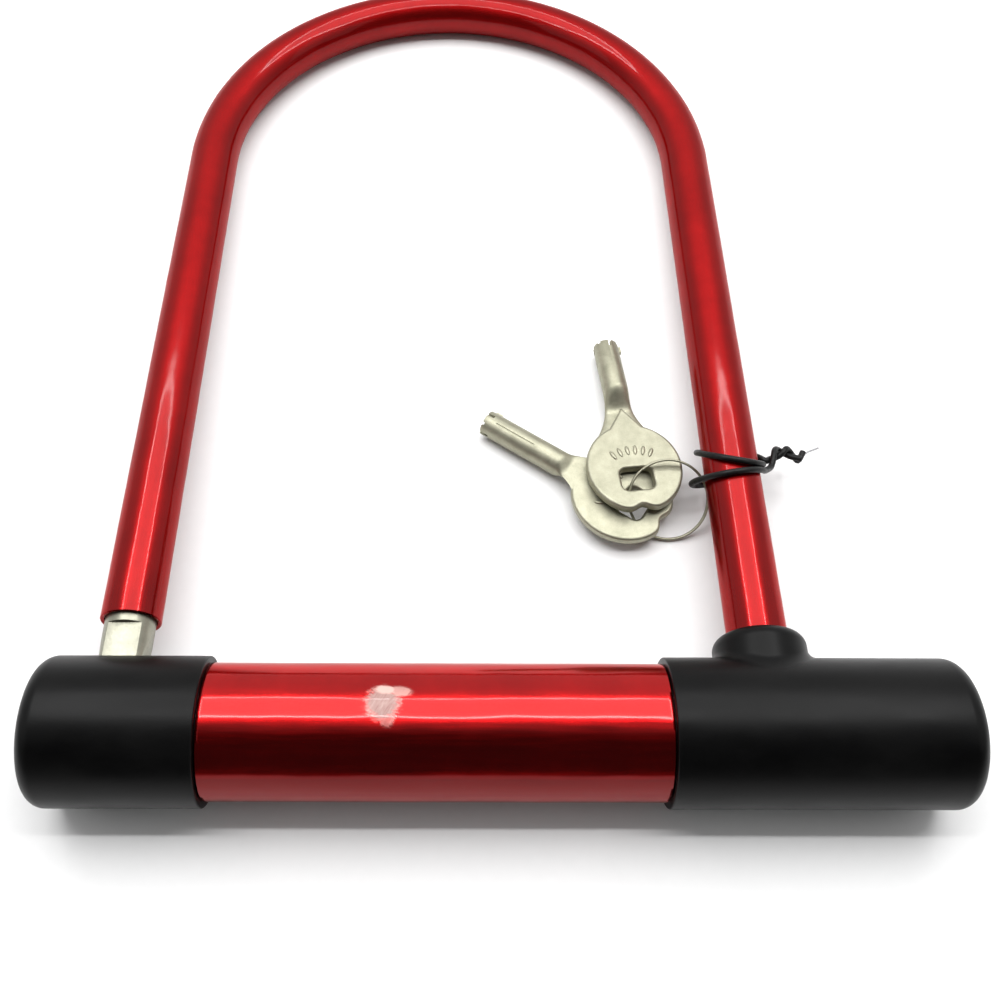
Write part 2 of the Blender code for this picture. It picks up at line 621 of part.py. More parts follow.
def pin_stack(index, y, z):
    """One key pin, driver pin and spring, in line along X."""
    tip = 0.3 * MM
    front = DISC_FRONT - 0.1 * MM
    key_pin = [(0, front), (PIN_RADIUS - tip, front), (PIN_RADIUS, front - tip),
               (PIN_RADIUS, DISC_BACK + 0.15 * MM), (0, DISC_BACK + 0.15 * MM)]
    driver_front, driver_back = BARREL_FRONT - 0.15 * MM, SPRING_FRONT + GAP
    driver = [(0, driver_front), (PIN_RADIUS, driver_front), (PIN_RADIUS, driver_back), (0, driver_back)]
    for name, outline in (("key_pin", key_pin), ("driver_pin", driver)):
        pin = turned_part(f"{name}_{index}", outline, "brass", lock_frame, steps=8)
        pin.location = (0, y, z)
    coil_steps = 6
    count = SPRING_TURNS * coil_steps
    length = SPRING_FRONT - SPRING_BACK - 2 * SPRING_WIRE
    coil = []
    for i in range(count + 1):
        angle = 2 * pi * i / coil_steps
        x = SPRING_BACK + SPRING_WIRE + length * i / count
        coil.append((x, SPRING_RADIUS * cos(angle), SPRING_RADIUS * sin(angle)))
    name = f"pin_spring_{index}"
    add_part(name, poly_curve(name, coil, SPRING_WIRE), "spring_steel", lock_frame, (0, y, z))


# ---------------------------------------------------------------- bolt

def helical_slot(name, start_angle):
    """Solid that sweeps the drive pin's path: BOLT_TRAVEL along X in BOLT_TURN about X."""
    half_width = DRIVE_PIN_RADIUS + GAP
    inner, outer = SHAFT_RADIUS - GAP, BOLT_SLEEVE + MM
    middle = (SHAFT_RADIUS + BOLT_SLEEVE) / 2
    lead = BOLT_TRAVEL / BOLT_TURN
    slope = Vector((lead, middle)).normalized()
    overrun = half_width / hypot(lead, middle)
    steps = 10
    sections = []
    for i in range(steps + 1):
        turned = -overrun + (BOLT_TURN + 2 * overrun) * i / steps
        angle = start_angle + turned
        outward = Vector((0, cos(angle), sin(angle)))
        around = Vector((0, -sin(angle), cos(angle)))
        across = Vector((1, 0, 0)) * slope.y - around * slope.x
        centre = Vector((DRIVE_PIN_X + lead * turned, 0, 0))
        corners = ((inner, -1), (outer, -1), (outer, 1), (inner, 1))
        sections.append([centre + outward * r + across * half_width * s for r, s in corners])
    return add_cutter(name, loft_mesh(name, sections), lock_frame)


def locking_bolt():
    """Square-nosed bolt with a sleeve behind it that the spindle's shaft turns in."""
    outline = [(0, BOLT_BACK), (BOLT_SLEEVE, BOLT_BACK), (BOLT_SLEEVE, BOLT_BORE_END), (0, BOLT_BORE_END)]
    bolt = turned_part("locking_bolt", outline, "bar_steel", lock_frame, steps=28)
    nose = box_mesh("bolt_nose", (BOLT_TIP, -BOLT_HALF, -BOLT_HALF),
                    (BOLT_BORE_END + MM, BOLT_HALF, BOLT_HALF))
    combine(bolt, add_cutter("bolt_nose", nose, lock_frame), "UNION")
    bore = [((BOLT_BORE_END, 0, 0), (BOLT_BACK + REACH, 0, 0), SHAFT_RADIUS + GAP)]
    combine(bolt, add_cutter("bolt_bore", rod_mesh("bolt_bore", bore, sides=24), lock_frame))
    for name, angle in (("slot_above", pi / 2), ("slot_below", -pi / 2)):
        combine(bolt, helical_slot(name, angle))
    return bolt


def bolt_guide():
    """Block in the tube that the bolt slides in; its square window keeps the bolt from turning."""
    outline = [(0, GUIDE_BACK), (CORE_RADIUS, GUIDE_BACK), (CORE_RADIUS, GUIDE_FRONT), (0, GUIDE_FRONT)]
    guide = turned_part("bolt_guide", outline, "zinc", lock_frame, steps=32)
    bore = [((GUIDE_WINDOW_END, 0, 0), (GUIDE_BACK + REACH, 0, 0), BOLT_SLEEVE + GAP)]
    combine(guide, add_cutter("guide_bore", rod_mesh("guide_bore", bore, sides=28), lock_frame))
    half = BOLT_HALF + GAP
    window = box_mesh("guide_window", (GUIDE_FRONT - REACH, -half, -half),
                      (GUIDE_WINDOW_END + MM, half, half))
    combine(guide, add_cutter("guide_window", window, lock_frame))
    hole = ((GUIDE_DOWEL_X, -CAP_RADIUS, 0), (GUIDE_DOWEL_X, GAP - GUIDE_DOWEL_DEPTH, 0),
            DOWEL_RADIUS + GAP)
    dowel_holes(guide, [hole], "guide_dowel_hole")
    return guide


# ---------------------------------------------------------------- keys, ring and tie

def bow_outline():
    """Oval bow with a pointed tongue at +Y and a rounded hollow in the far edge."""
    shoulder = acos(TONGUE_HALF / BOW_WIDE)
    steps = 44
    outline = [(0.0, TONGUE_TIP)]
    for i in range(steps + 1):
        angle = shoulder - (pi + 2 * shoulder) * i / steps
        from_hollow = angle + pi / 2
        scale = 1 - HOLLOW_DEPTH / BOW_LONG * exp(-(from_hollow / HOLLOW_WIDTH) ** 2)
        outline.append((BOW_WIDE * scale * cos(angle), BOW_Y + BOW_LONG * scale * sin(angle)))
    return outline


def slot_outline():
    """Rounded rectangle for the ring."""
    half_x, half_y = KEY_SLOT[0] / 2 - KEY_SLOT_CORNER, KEY_SLOT[1] / 2 - KEY_SLOT_CORNER
    points = []
    for sign_x, sign_y, start in ((1, 1, 0), (-1, 1, 90), (-1, -1, 180), (1, -1, 270)):
        centre = (sign_x * half_x, KEY_SLOT_Y + sign_y * half_y)
        points += arc(centre, KEY_SLOT_CORNER, start, start + 90, 3)
    return points


def key_barrel_mesh(name):
    """Round barrel whose rear end is pressed flat and wide under the bow's tongue."""
    sides = 20
    rear_steps = 8
    edge = 0.5 * MM
    sections = []
    for i in range(rear_steps + 1):
        t = i / rear_steps
        y = PRESSED_END + (NECK_END - PRESSED_END) * t
        half = KEY_RADIUS + (PRESSED_HALF - KEY_RADIUS) * (1 - t) ** 2
        swell = smooth_step((y - NECK_START) / (NECK_END - NECK_START))
        top = PRESSED_TOP + (KEY_RADIUS - PRESSED_TOP) * swell
        bottom = PRESSED_BOTTOM - (KEY_RADIUS + PRESSED_BOTTOM) * t
        sections.append((y, half, top, bottom))
    sections.append((KEY_TIP - edge, KEY_RADIUS, KEY_RADIUS, -KEY_RADIUS))
    sections.append((KEY_TIP, KEY_RADIUS - edge, KEY_RADIUS - edge, edge - KEY_RADIUS))
    angles = [2 * pi * i / sides for i in range(sides)]
    loops = []
    for y, half, top, bottom in sections:
        middle, rise = (top + bottom) / 2, (top - bottom) / 2
        loops.append([Vector((half * cos(a), y, middle + rise * sin(a))) for a in angles])
    mesh = loft_mesh(name, loops)
    mesh.shade_smooth()
    mesh.set_sharp_from_angle(angle=SMOOTH_ANGLE)
    return mesh


def key(name, bow_centre, hinge, heading, slope):
    """Bow and barrel, with the key's own +Y towards its tip and its parent empty on the hinge."""
    pivot = new_empty(name + "_pivot", ground_frame, hinge)
    turn_key = Euler((slope, 0, heading), "XYZ")
    place = bow_centre - hinge
    rise = turn_key.to_matrix() @ Vector((0, 0, BOW_RISE))
    add_part(name + "_bow", flat_plate(name + "_bow", [bow_outline(), slot_outline()], BOW_HALF), "nickel",
             pivot, place + rise, turn_key)
    barrel = add_part(name + "_barrel", key_barrel_mesh(name + "_barrel"), "nickel", pivot, place, turn_key)

    lug = box_mesh(name + "_lug", (KEY_RADIUS - GAP, KEY_TIP - MM - LUG_LENGTH, -LUG_HALF),
                   (LUG_TOP, KEY_TIP - MM, LUG_HALF))
    combine(barrel, add_cutter(name + "_lug", lug, pivot, place, turn_key), "UNION")
    bore = [((0, KEY_BORE_END, 0), (0, KEY_TIP + REACH, 0), KEY_BORE)]
    combine(barrel, add_cutter(name + "_bore", rod_mesh(name + "_bore", bore), pivot, place, turn_key))
    cuts = []
    for i, depth in enumerate(KEY_CUTS):
        angle = 2 * pi * (i + 0.5) / len(KEY_CUTS)
        x, z = PIN_CIRCLE * cos(angle), PIN_CIRCLE * sin(angle)
        cuts.append(((x, KEY_TIP - depth * MM, z), (x, KEY_TIP + MM, z), PIN_HOLE))
    tip_cuts = rod_mesh(name + "_cuts", cuts, sides=8)
    combine(barrel, add_cutter(name + "_cuts", tip_cuts, pivot, place, turn_key))


def ring_point(angle):
    """A point of the ring's middle circle, in the ground frame."""
    flat = Vector((RING_RADIUS * cos(angle), RING_RADIUS * sin(angle), 0))
    return RING_CENTRE + Matrix.Rotation(RING_TILT, 3, "X") @ flat


def key_ring():
    """Split ring: two turns of wire side by side, with its parent empty where the tie holds it."""
    hook = ring_point(RING_HOOK)
    pivot = new_empty("key_ring_pivot", ground_frame, hook)
    tilt = Matrix.Rotation(RING_TILT, 3, "X")
    per_turn = 28
    points = []
    for i in range(2 * per_turn):
        angle = RING_START + 2 * pi * i / per_turn
        rise = RING_LIFT * (i / per_turn - 1)
        offset = tilt @ Vector((RING_RADIUS * cos(angle), RING_RADIUS * sin(angle), rise))
        points.append(RING_CENTRE + offset - hook)
    add_part("key_ring", poly_curve("key_ring", points, RING_WIRE), "nickel", pivot)


def tie_wraps():
    """Two turns of the tie round the right leg, starting and ending at its right side."""
    snug = SLEEVE_RADIUS + TIE_WIRE + GAP
    steps = 34
    wraps = []
    for i in range(steps + 1):
        half_turns = 4 * i / steps
        half = min(int(half_turns), 3)
        blend = smooth_step(half_turns - half)
        y = (TIE_ALONG_LEG[half] * (1 - blend) + TIE_ALONG_LEG[half + 1] * blend) * MM
        angle = pi * half_turns
        y -= TIE_LEAN[half // 2] * sin(angle)
        radius = snug + TIE_BULGE * exp(-((angle - TIE_BULGE_AT) / TIE_BULGE_WIDTH) ** 2)
        leg_z = CAP_RADIUS - y * sin(REST_TILT)
        wraps.append(Vector((LEG_X + radius * cos(angle), y, leg_z + radius * sin(angle))))
    return wraps


def tie_strand(phase):
    """One of the two strands that twist round each other, from the leg outwards."""
    near, middle, far = [Vector(point) * MM for point in TWIST_LINE]
    steps = 14
    strand = []
    for i in range(steps + 1):
        t = i / steps
        centre = near * (1 - t) ** 2 + middle * 2 * t * (1 - t) + far * t * t
        angle = phase + 2 * pi * TWIST_TURNS * t
        strand.append(centre + Vector((-0.4 * cos(angle), 0.9 * cos(angle), -sin(angle))) * TWIST_RADIUS)
    return strand


def twist_tie():
    """Plastic-covered wire tie round the right leg and the ring."""
    tail = [Vector(point) * MM for point in TWIST_TAIL]
    points = [*reversed(tie_strand(pi)), *tie_wraps()[1:-1], *tie_strand(0), *tail]
    thin_end = [0.75, 0.45, 0.4]
    radii = [1.0] * (len(points) - len(thin_end)) + thin_end
    curve = poly_curve("twist_tie", points, TIE_WIRE, radii=radii)
    add_part("twist_tie", curve, "tie_plastic", ground_frame)


# ---------------------------------------------------------------- assembly

clear_scene()
parts = new_collection("u_lock")
cutters = new_collection("u_lock_cutters")

middle_x = (LEFT_END + RIGHT_END) / 2
middle_y = (DEPTH - CAP_RADIUS) / 2
ground_frame = new_empty("ground_frame", None, (-middle_x, -middle_y, 0))
lock_frame = new_empty("lock_frame", ground_frame, (0, 0, CAP_RADIUS), (-REST_TILT, 0, 0))

shackle_bar()
shackle_sleeve()
crossbar_tube()
crossbar_sleeve()
left_end_cap()
right_end_cap()
foot_socket()
dowel("foot_socket_pin", SOCKET_DOWEL_X, SOCKET_DOWEL_DEPTH, -1)
lock_shell()
dowel("lock_shell_pin", SHELL_DOWEL_X, SHELL_DOWEL_DEPTH, 1)
pin_barrel()
barrel_pin()
lock_spindle()
spindle_clip()
drive_pin()
for number, place in enumerate(chamber_places(), start=1):
    pin_stack(number, *place)
locking_bolt()
bolt_guide()
dowel("bolt_guide_pin", GUIDE_DOWEL_X, GUIDE_DOWEL_DEPTH, -1)
for pose in KEY_POSES:
    key(*pose)
key_ring()
twist_tie()
bpy.context.view_layer.update()
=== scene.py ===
"""Looks of the U lock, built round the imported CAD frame.

Pieces of the lock are laid out in the lock frame: origin on the crossbar's axis midway between the legs,
X along the crossbar, Y along the legs, Z square to the plane of the U. It leans with the U, so it is
worked out from the CAD boxes and the shackle's slide axis. The keys, their ring and the wire tie are laid
out in the ground frame: the same origin in plan, Y and Z along and up from the surface. Lengths in metres.
"""

import json
from math import acos, asin, cos, exp, pi, radians, sin, sqrt, tan

import bmesh
import bpy
from mathutils import Euler, Matrix, Vector, noise


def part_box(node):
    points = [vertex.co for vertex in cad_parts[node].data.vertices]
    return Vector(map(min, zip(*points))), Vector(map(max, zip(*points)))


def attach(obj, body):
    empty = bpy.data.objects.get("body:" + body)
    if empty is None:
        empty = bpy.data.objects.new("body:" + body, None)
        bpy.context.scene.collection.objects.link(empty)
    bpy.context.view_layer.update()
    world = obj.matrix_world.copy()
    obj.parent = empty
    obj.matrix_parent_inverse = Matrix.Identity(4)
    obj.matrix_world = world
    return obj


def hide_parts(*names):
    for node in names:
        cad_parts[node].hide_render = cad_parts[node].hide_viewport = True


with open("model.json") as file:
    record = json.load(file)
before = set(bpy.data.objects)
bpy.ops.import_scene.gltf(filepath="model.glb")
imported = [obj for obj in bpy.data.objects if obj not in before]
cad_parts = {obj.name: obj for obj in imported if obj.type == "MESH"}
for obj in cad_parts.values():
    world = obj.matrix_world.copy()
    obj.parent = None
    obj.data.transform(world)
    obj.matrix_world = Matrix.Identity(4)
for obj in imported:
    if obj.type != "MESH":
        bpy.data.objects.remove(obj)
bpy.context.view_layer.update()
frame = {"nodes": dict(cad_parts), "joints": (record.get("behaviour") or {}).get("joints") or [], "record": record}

MM = 0.001
SMOOTH_ANGLE = radians(35)

# Where the lock frame and the ground frame are, from the CAD
cap_low, cap_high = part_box("left_end_cap")
right_low, right_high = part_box("right_end_cap")
film_low, film_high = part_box("shackle_sleeve")
slide_axis = Vector(next(j["axis"] for j in frame["joints"] if j["name"] == "shackle_slide"))

CAP_RADIUS = (cap_high.z - cap_low.z) / 2
CENTRE_X = (film_low.x + film_high.x) / 2
AXIS_Y = (cap_low.y + cap_high.y) / 2
TILT = asin(-slide_axis.z)
GROUND = Matrix.Translation((CENTRE_X, AXIS_Y, 0))
LOCK = Matrix.Translation((CENTRE_X, AXIS_Y, CAP_RADIUS)) @ Matrix.Rotation(-TILT, 4, "X")

# Shackle
SLEEVE_RADIUS = 7.85 * MM
SLEEVE_WALL = 1.05 * MM
SLEEVE_RIPPLE = 0.05 * MM
LEG_X = (film_high.x - film_low.x) / 2 - SLEEVE_RADIUS
LEG_STRAIGHT = 198.5 * MM
SLEEVE_LEFT_END = 28.5 * MM
SLEEVE_RIGHT_END = 15.7 * MM
BAR_RADIUS = 6.5 * MM
BAR_END = -10.0 * MM
TIP_CHAMFER = 1.5 * MM
NOTCH_DEPTH = 5.0 * MM
NOTCH_HALF = 5.0 * MM
FOOT_FLAT = 4.9 * MM
FOOT_FLAT_START = 26.3 * MM
FOOT_TAPER = radians(7.0)
FOOT_TAPER_LENGTH = 12.0 * MM

# Waves of the shrunk film, per metre, and how much the fine ones count
BROAD_WAVE = 110
FINE_WAVE = 330
FINE_SHARE = 0.4

# Crossbar
END_TRIM = 0.9 * MM                     # the moulded ends stop this far inside the CAD's
LEFT_END = cap_low.x - CENTRE_X + END_TRIM
LEFT_RIM = cap_high.x - CENTRE_X
RIGHT_RIM = right_low.x - CENTRE_X
RIGHT_END = right_high.x - CENTRE_X - END_TRIM
CAP_CORNER = 4.4 * MM
CAP_BORE = 15.3 * MM
CAP_RIM = 0.4 * MM
CAP_SIDES = 128
CORNER_STEPS = 14
RIM_STEPS = 4
FILM_RADIUS = 16.5 * MM
FILM_BORE = 15.3 * MM
FILM_GAP = 0.2 * MM
FILM_WAVE = 0.065 * MM
FILM_WAVE_INSET = 0.09 * MM             # keeps the waves' crests inside the film's radius
FILM_WAVE_STRETCH = 0.45                # waves run longer along the crossbar than round it
LUG_GAP = 0.3 * MM
FILM_PAINTED_SHADE = (8.5 * MM, 11.0 * MM)      # heights between which painted shade darkens the crossbar's film downwards
FOOT_HOLE = 7.1 * MM
COLLAR_RADIUS = 12.0 * MM
COLLAR_TOP = 24.4 * MM
COLLAR_ROUND = 3.4 * MM
COLLAR_BORE = SLEEVE_RADIUS + 0.3 * MM
COLLAR_FILLET = 2.0 * MM

# Worn patch on the crossbar's film, as (middle, half size, how strong) in millimetres
RUBBED_SPOTS = (((-14.0, 1.8, 16.3), (3.8, 4.0, 4.0), 1.0), ((-12.8, -2.4, 16.2), (1.6, 1.7, 4.0), 0.5))
LIP_SPOTS = (((-13.5, 5.1, 15.7), (2.6, 1.1, 3.0), 1.0), ((-10.0, 4.7, 15.8), (2.8, 1.3, 3.0), 0.7))
STROKE_SIZE = Vector((3.2, 0.7, 3.2)) * MM

# Lock cylinder's nose
KEY_HOLE = 8.4 * MM
NOSE_FACE = RIGHT_END - 0.1 * MM
NOSE_RADIUS = 8.0 * MM
SHELL_RADIUS = 12.2 * MM
SHELL_FRONT = RIGHT_END - 6.2 * MM
SHELL_BACK = 107.7 * MM
SHELL_BORE = 8.0 * MM
KEYWAY_RADIUS = 4.1 * MM
KEYWAY_DEPTH = 121.8 * MM

# Keys
BOW_WIDE = 13.9 * MM
BOW_LONG = 15.0 * MM
BOW_Y = -0.7 * MM
BOW_HALF = 1.5 * MM
BOW_RISE = 0.5 * MM
BOW_EDGE = 0.8 * MM
TONGUE_TIP = 20.8 * MM
TONGUE_HALF = 4.9 * MM
HOLLOW_DEPTH = 2.2 * MM
HOLLOW_WIDTH = radians(12)
KEY_SLOT = (9.4 * MM, 7.6 * MM)
KEY_SLOT_Y = -4.9 * MM
KEY_SLOT_CORNER = 2.0 * MM
RIB_COUNT = 6
RIB_FAN_RADIUS = 12.0 * MM
RIB_FAN_Y = -7.2 * MM
RIB_FAN_STEP = 11                                   # degrees
RIB_SIZE = (1.7 * MM, 0.62 * MM, 0.45 * MM)
KEY_TIP = 46.3 * MM
KEY_RADIUS = 3.9 * MM
KEY_BORE = 2.75 * MM
KEY_BORE_END = 29.0 * MM
PRESSED_END = 12.4 * MM
PRESSED_HALF = 8.6 * MM
PRESSED_TOP = -1.35 * MM
PRESSED_BOTTOM = -3.2 * MM
NECK_START = 21.1 * MM
NECK_END = 25.8 * MM
NECK_SLOPE_END = 29.0 * MM
# The same neck on the key that lies turned over, where it comes out on top of the bow
OVER_HALF = 6.4 * MM
OVER_NECK_END = 19.5 * MM
OVER_RISE_START = 16.2 * MM
OVER_RISE_END = 20.5 * MM
OVER_TOP = BOW_RISE + BOW_HALF + 0.02 * MM
OVER_BOTTOM = BOW_RISE + BOW_HALF - 0.3 * MM
# Barrel
SEAM_RADIUS = 0.24 * MM
PIN_CIRCLE = 3.3 * MM
PIN_HOLE = 0.75 * MM
KEY_CUTS = (1.2, 2.4, 0.8, 3.0, 1.6, 2.0, 2.6)      # depths in millimetres
LUG_LENGTH = 2.2 * MM
LUG_HALF = 0.7 * MM
LUG_TOP = 4.5 * MM
KEY_POSES = (
    # (name, middle of the bow in the ground frame, heading of the tip from +Y, slope, turned over)
    ("key_1", Vector((54.6, 79.2, 8.65)) * MM, radians(5.9), radians(-5.8), False),
    ("key_2", Vector((50.4, 71.4, 4.8)) * MM, radians(56.3), radians(-1.1), True),
)

# Split ring and wire tie, in the ground frame
RING_CENTRE = Vector((64.2, 69.8, 6.8)) * MM
RING_RADIUS = 11.45 * MM
RING_WIRE = 0.35 * MM
RING_TILT = radians(31.3)
RING_LIFT = 0.82 * MM
RING_START = radians(136)
TIE_WIRE = 0.9 * MM
TIE_ALONG_LEG = (74.2, 71.4, 76.9, 80.6, 79.6)
TIE_LEAN = (3.0 * MM, 5.5 * MM)
TIE_GAP = 0.3 * MM
TIE_BULGE = 3.2 * MM
TIE_BULGE_AT = radians(218)
TIE_BULGE_WIDTH = radians(42)
TWIST_LINE = [Vector(point) * MM for point in ((92.8, 77.6, 13.6), (97.0, 86.5, 12.8), (103.0, 80.6, 10.6))]
TWIST_TAIL = [Vector(point) * MM for point in ((104.8, 84.2, 9.6), (107.4, 85.2, 8.0), (110.6, 87.2, 6.6))]
TWIST_RADIUS = 1.12 * MM
TWIST_TURNS = 1.25
TWIST_ACROSS = (-0.4, 0.9)              # direction across the twist, in plan
TAIL_WIRE = 0.36 * MM


# ---------------------------------------------------------------- mesh helpers

def new_object(name, mesh, place):
    obj = bpy.data.objects.new(name, mesh)
    bpy.context.scene.collection.objects.link(obj)
    obj.matrix_world = place
    return obj


def finish_mesh(mesh):
    mesh.shade_smooth()
    mesh.set_sharp_from_angle(angle=SMOOTH_ANGLE)


def ring_mesh(name, rings, closed=False, caps=False):
    """Quads through a list of rings with equal numbers of points; the rings may close on themselves."""
    shape = bmesh.new()
    loops = [[shape.verts.new(point) for point in ring] for ring in rings]
    count = len(loops[0])
    following = loops[1:] + loops[:1] if closed else loops[1:]
    for loop, after in zip(loops, following):
        for i in range(count):
            j = (i + 1) % count
            shape.faces.new((loop[i], loop[j], after[j], after[i]))
    if caps:
        shape.faces.new(loops[0])
        shape.faces.new(loops[-1])
    bmesh.ops.recalc_face_normals(shape, faces=shape.faces)
    mesh = bpy.data.meshes.new(name)
    shape.to_mesh(mesh)
    shape.free()
    finish_mesh(mesh)
    return mesh


def lathe_mesh(name, profile, sides):
    """A closed profile of (x, radius) turned about X."""
    angles = [2 * pi * i / sides for i in range(sides)]
    rings = [[(x, radius * cos(a), radius * sin(a)) for a in angles] for x, radius in profile]
    return ring_mesh(name, rings, closed=True)


def arc(centre, radius, start, end, steps):
    """Points on an arc, angles in degrees, both ends included."""
    angles = [radians(start + (end - start) * i / steps) for i in range(steps + 1)]
    return [(centre[0] + radius * cos(a), centre[1] + radius * sin(a)) for a in angles]


def cylinder(name, start, end, radius, place, sides=48):
    """A plain cutter between two points."""
    axis = Vector(end) - Vector(start)
    shape = bmesh.new()
    middle = Matrix.Translation((Vector(start) + Vector(end)) / 2)
    turned = axis.to_track_quat("Z", "Y").to_matrix().to_4x4()
    bmesh.ops.create_cone(shape, cap_ends=True, segments=sides, radius1=radius, radius2=radius,
                          depth=axis.length, matrix=middle @ turned)
    mesh = bpy.data.meshes.new(name)
    shape.to_mesh(mesh)
    shape.free()
    return new_object(name, mesh, place)


def block(name, low, high, place):
    """A plain cutter between two corners."""
    shape = bmesh.new()
    size = [b - a for a, b in zip(low, high)]
    middle = [(a + b) / 2 for a, b in zip(low, high)]
    bmesh.ops.create_cube(shape, size=1.0, matrix=Matrix.Translation(middle) @ Matrix.Diagonal((*size, 1)))
    mesh = bpy.data.meshes.new(name)
    shape.to_mesh(mesh)
    shape.free()
    return new_object(name, mesh, place)


def carve(obj, cutters, operation="DIFFERENCE", edge=0.0):
    """Cut helper solids out of obj, or join them on, round the new edges, and keep the plain result."""
    bpy.context.view_layer.update()
    for cutter in cutters:
        modifier = obj.modifiers.new("carve", "BOOLEAN")
        modifier.object = cutter
        modifier.operation = operation
        modifier.solver = "EXACT"
    if edge:
        bevel = obj.modifiers.new("edge", "BEVEL")
        bevel.width = edge
        bevel.segments = 2
        bevel.limit_method = "ANGLE"
        bevel.angle_limit = SMOOTH_ANGLE
    graph = bpy.context.evaluated_depsgraph_get()
    mesh = bpy.data.meshes.new_from_object(obj.evaluated_get(graph))
    obj.modifiers.clear()
    obj.data = mesh
    for cutter in cutters:
        bpy.data.objects.remove(cutter)
    finish_mesh(mesh)


def piece(obj, body, slot, material, *nodes):
    """Give obj its finish and its CAD body, and let it stand for CAD nodes."""
    obj.data.materials.clear()
    obj.data.materials.append(material)
    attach(obj, body)
    if nodes:
        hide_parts(*nodes)
    return obj


def smooth_step(value):
    value = min(max(value, 0.0), 1.0)
    return value * value * (3 - 2 * value)


# ---------------------------------------------------------------- materials

class Finish:
    """A Principled material with short calls for the procedural nodes it is built from."""

    def __init__(self, name):
        self.material = bpy.data.materials.new(name)
        self.material.use_nodes = True
        self.nodes = self.material.node_tree.nodes
        self.links = self.material.node_tree.links
        self.shader = self.nodes["Principled BSDF"]
        self.place = self.nodes.new("ShaderNodeTexCoord").outputs["Object"]
        self.normal = None

    def set(self, **values):
        for socket, value in values.items():
            self.shader.inputs[socket.replace("_", " ")].default_value = value

    def link(self, output, socket):
        self.links.new(output, self.shader.inputs[socket])

    def stretched(self, scale, offset=(0, 0, 0)):
        """Object coordinates scaled per axis, in units of 1/m."""
        mapping = self.nodes.new("ShaderNodeMapping")
        mapping.inputs["Scale"].default_value = scale
        mapping.inputs["Location"].default_value = offset
        self.links.new(self.place, mapping.inputs["Vector"])
        return mapping.outputs["Vector"]

    def noise(self, vector, detail=3.0, roughness=0.5):
        node = self.nodes.new("ShaderNodeTexNoise")
        node.inputs["Scale"].default_value = 1.0
        node.inputs["Detail"].default_value = detail
        node.inputs["Roughness"].default_value = roughness
        self.links.new(vector, node.inputs["Vector"])
        return node.outputs["Fac"]

    def span(self, value, low, high, new_low=0.0, new_high=1.0):
        """A value rescaled from low..high to new_low..new_high, and held there."""
        node = self.nodes.new("ShaderNodeMapRange")
        limits = {"From Min": low, "From Max": high, "To Min": new_low, "To Max": new_high}
        for socket, number in limits.items():
            node.inputs[socket].default_value = number
        self.links.new(value, node.inputs["Value"])
        return node.outputs["Result"]

    def math(self, operation, first, second):
        node = self.nodes.new("ShaderNodeMath")
        node.operation = operation
        for socket, value in zip(node.inputs, (first, second)):
            if isinstance(value, (int, float)):
                socket.default_value = value
            else:
                self.links.new(value, socket)
        return node.outputs[0]

    def mix(self, factor, first, second):
        """Colour between two colours, given as numbers or as outputs."""
        node = self.nodes.new("ShaderNodeMix")
        node.data_type = "RGBA"
        self.links.new(factor, node.inputs["Factor"])
        for socket, colour in zip(("A", "B"), (first, second)):
            target = next(s for s in node.inputs if s.name == socket and s.type == "RGBA")
            if isinstance(colour, tuple):
                target.default_value = (*colour, 1.0)
            else:
                self.links.new(colour, target)
        return next(s for s in node.outputs if s.type == "RGBA")

    def bump(self, height, depth):
        """Relief of this depth in metres, on top of any relief already there."""
        node = self.nodes.new("ShaderNodeBump")
        node.inputs["Distance"].default_value = depth
        node.inputs["Strength"].default_value = 1.0
        self.links.new(height, node.inputs["Height"])
        if self.normal is not None:
            self.links.new(self.normal, node.inputs["Normal"])
        self.normal = node.outputs["Normal"]
        self.links.new(self.normal, self.shader.inputs["Normal"])

    def patch(self, centre, size, turned):
        """Object coordinates about a centre, turned about Z and measured in patch sizes."""
        mapping = self.nodes.new("ShaderNodeMapping")
        mapping.vector_type = "TEXTURE"
        mapping.inputs["Location"].default_value = centre
        mapping.inputs["Rotation"].default_value = (0, 0, turned)
        mapping.inputs["Scale"].default_value = size
        self.links.new(self.place, mapping.inputs["Vector"])
        return mapping.outputs["Vector"]

    def spot(self, centre, size, turned, ragged, edge):
        """1 inside a ragged ellipsoid, falling to 0 across its edge."""
        length = self.nodes.new("ShaderNodeVectorMath")
        length.operation = "LENGTH"
        self.links.new(self.patch(centre, size, turned), length.inputs[0])
        tears = self.noise(self.patch(centre, (1.6 * MM, 0.5 * MM, 1.6 * MM), turned), 4.0, 0.65)
        reach = self.math("ADD", length.outputs["Value"], self.math("MULTIPLY", tears, ragged))
        middle = 1.0 + ragged * 0.5
        return self.span(reach, middle - edge / 2, middle + edge / 2, 1.0, 0.0)

    def spots(self, places, turned, ragged, edge):
        """The strongest of several spots, given in millimetres with their strengths."""
        strongest = 0.0
        for centre, size, strength in places:
            spot = self.spot(Vector(centre) * MM, Vector(size) * MM, turned, ragged, edge)
            strongest = self.math("MAXIMUM", strongest, self.math("MULTIPLY", spot, strength))
        return strongest


def red_film(name, along, dark, light, coat):
    """Glossy red film over metal foil; along is the axis its faint drawing lines run on."""
    finish = Finish(name)
    finish.set(Metallic=1.0, Specular_Tint=(1, 0.35, 0.32, 1))
    finish.set(Coat_Weight=coat, Coat_Roughness=0.09, Coat_IOR=1.5)
    lengthwise = tuple(60 if i == along else 900 for i in range(3))
    cloud = finish.noise(finish.stretched((70, 70, 70)), 4.0, 0.6)
    streak = finish.noise(finish.stretched(lengthwise), 3.0)
    colour = finish.mix(finish.span(cloud, 0.35, 0.7), dark, light)
    finish.bump(streak, 0.006 * MM)
    return finish, colour, streak


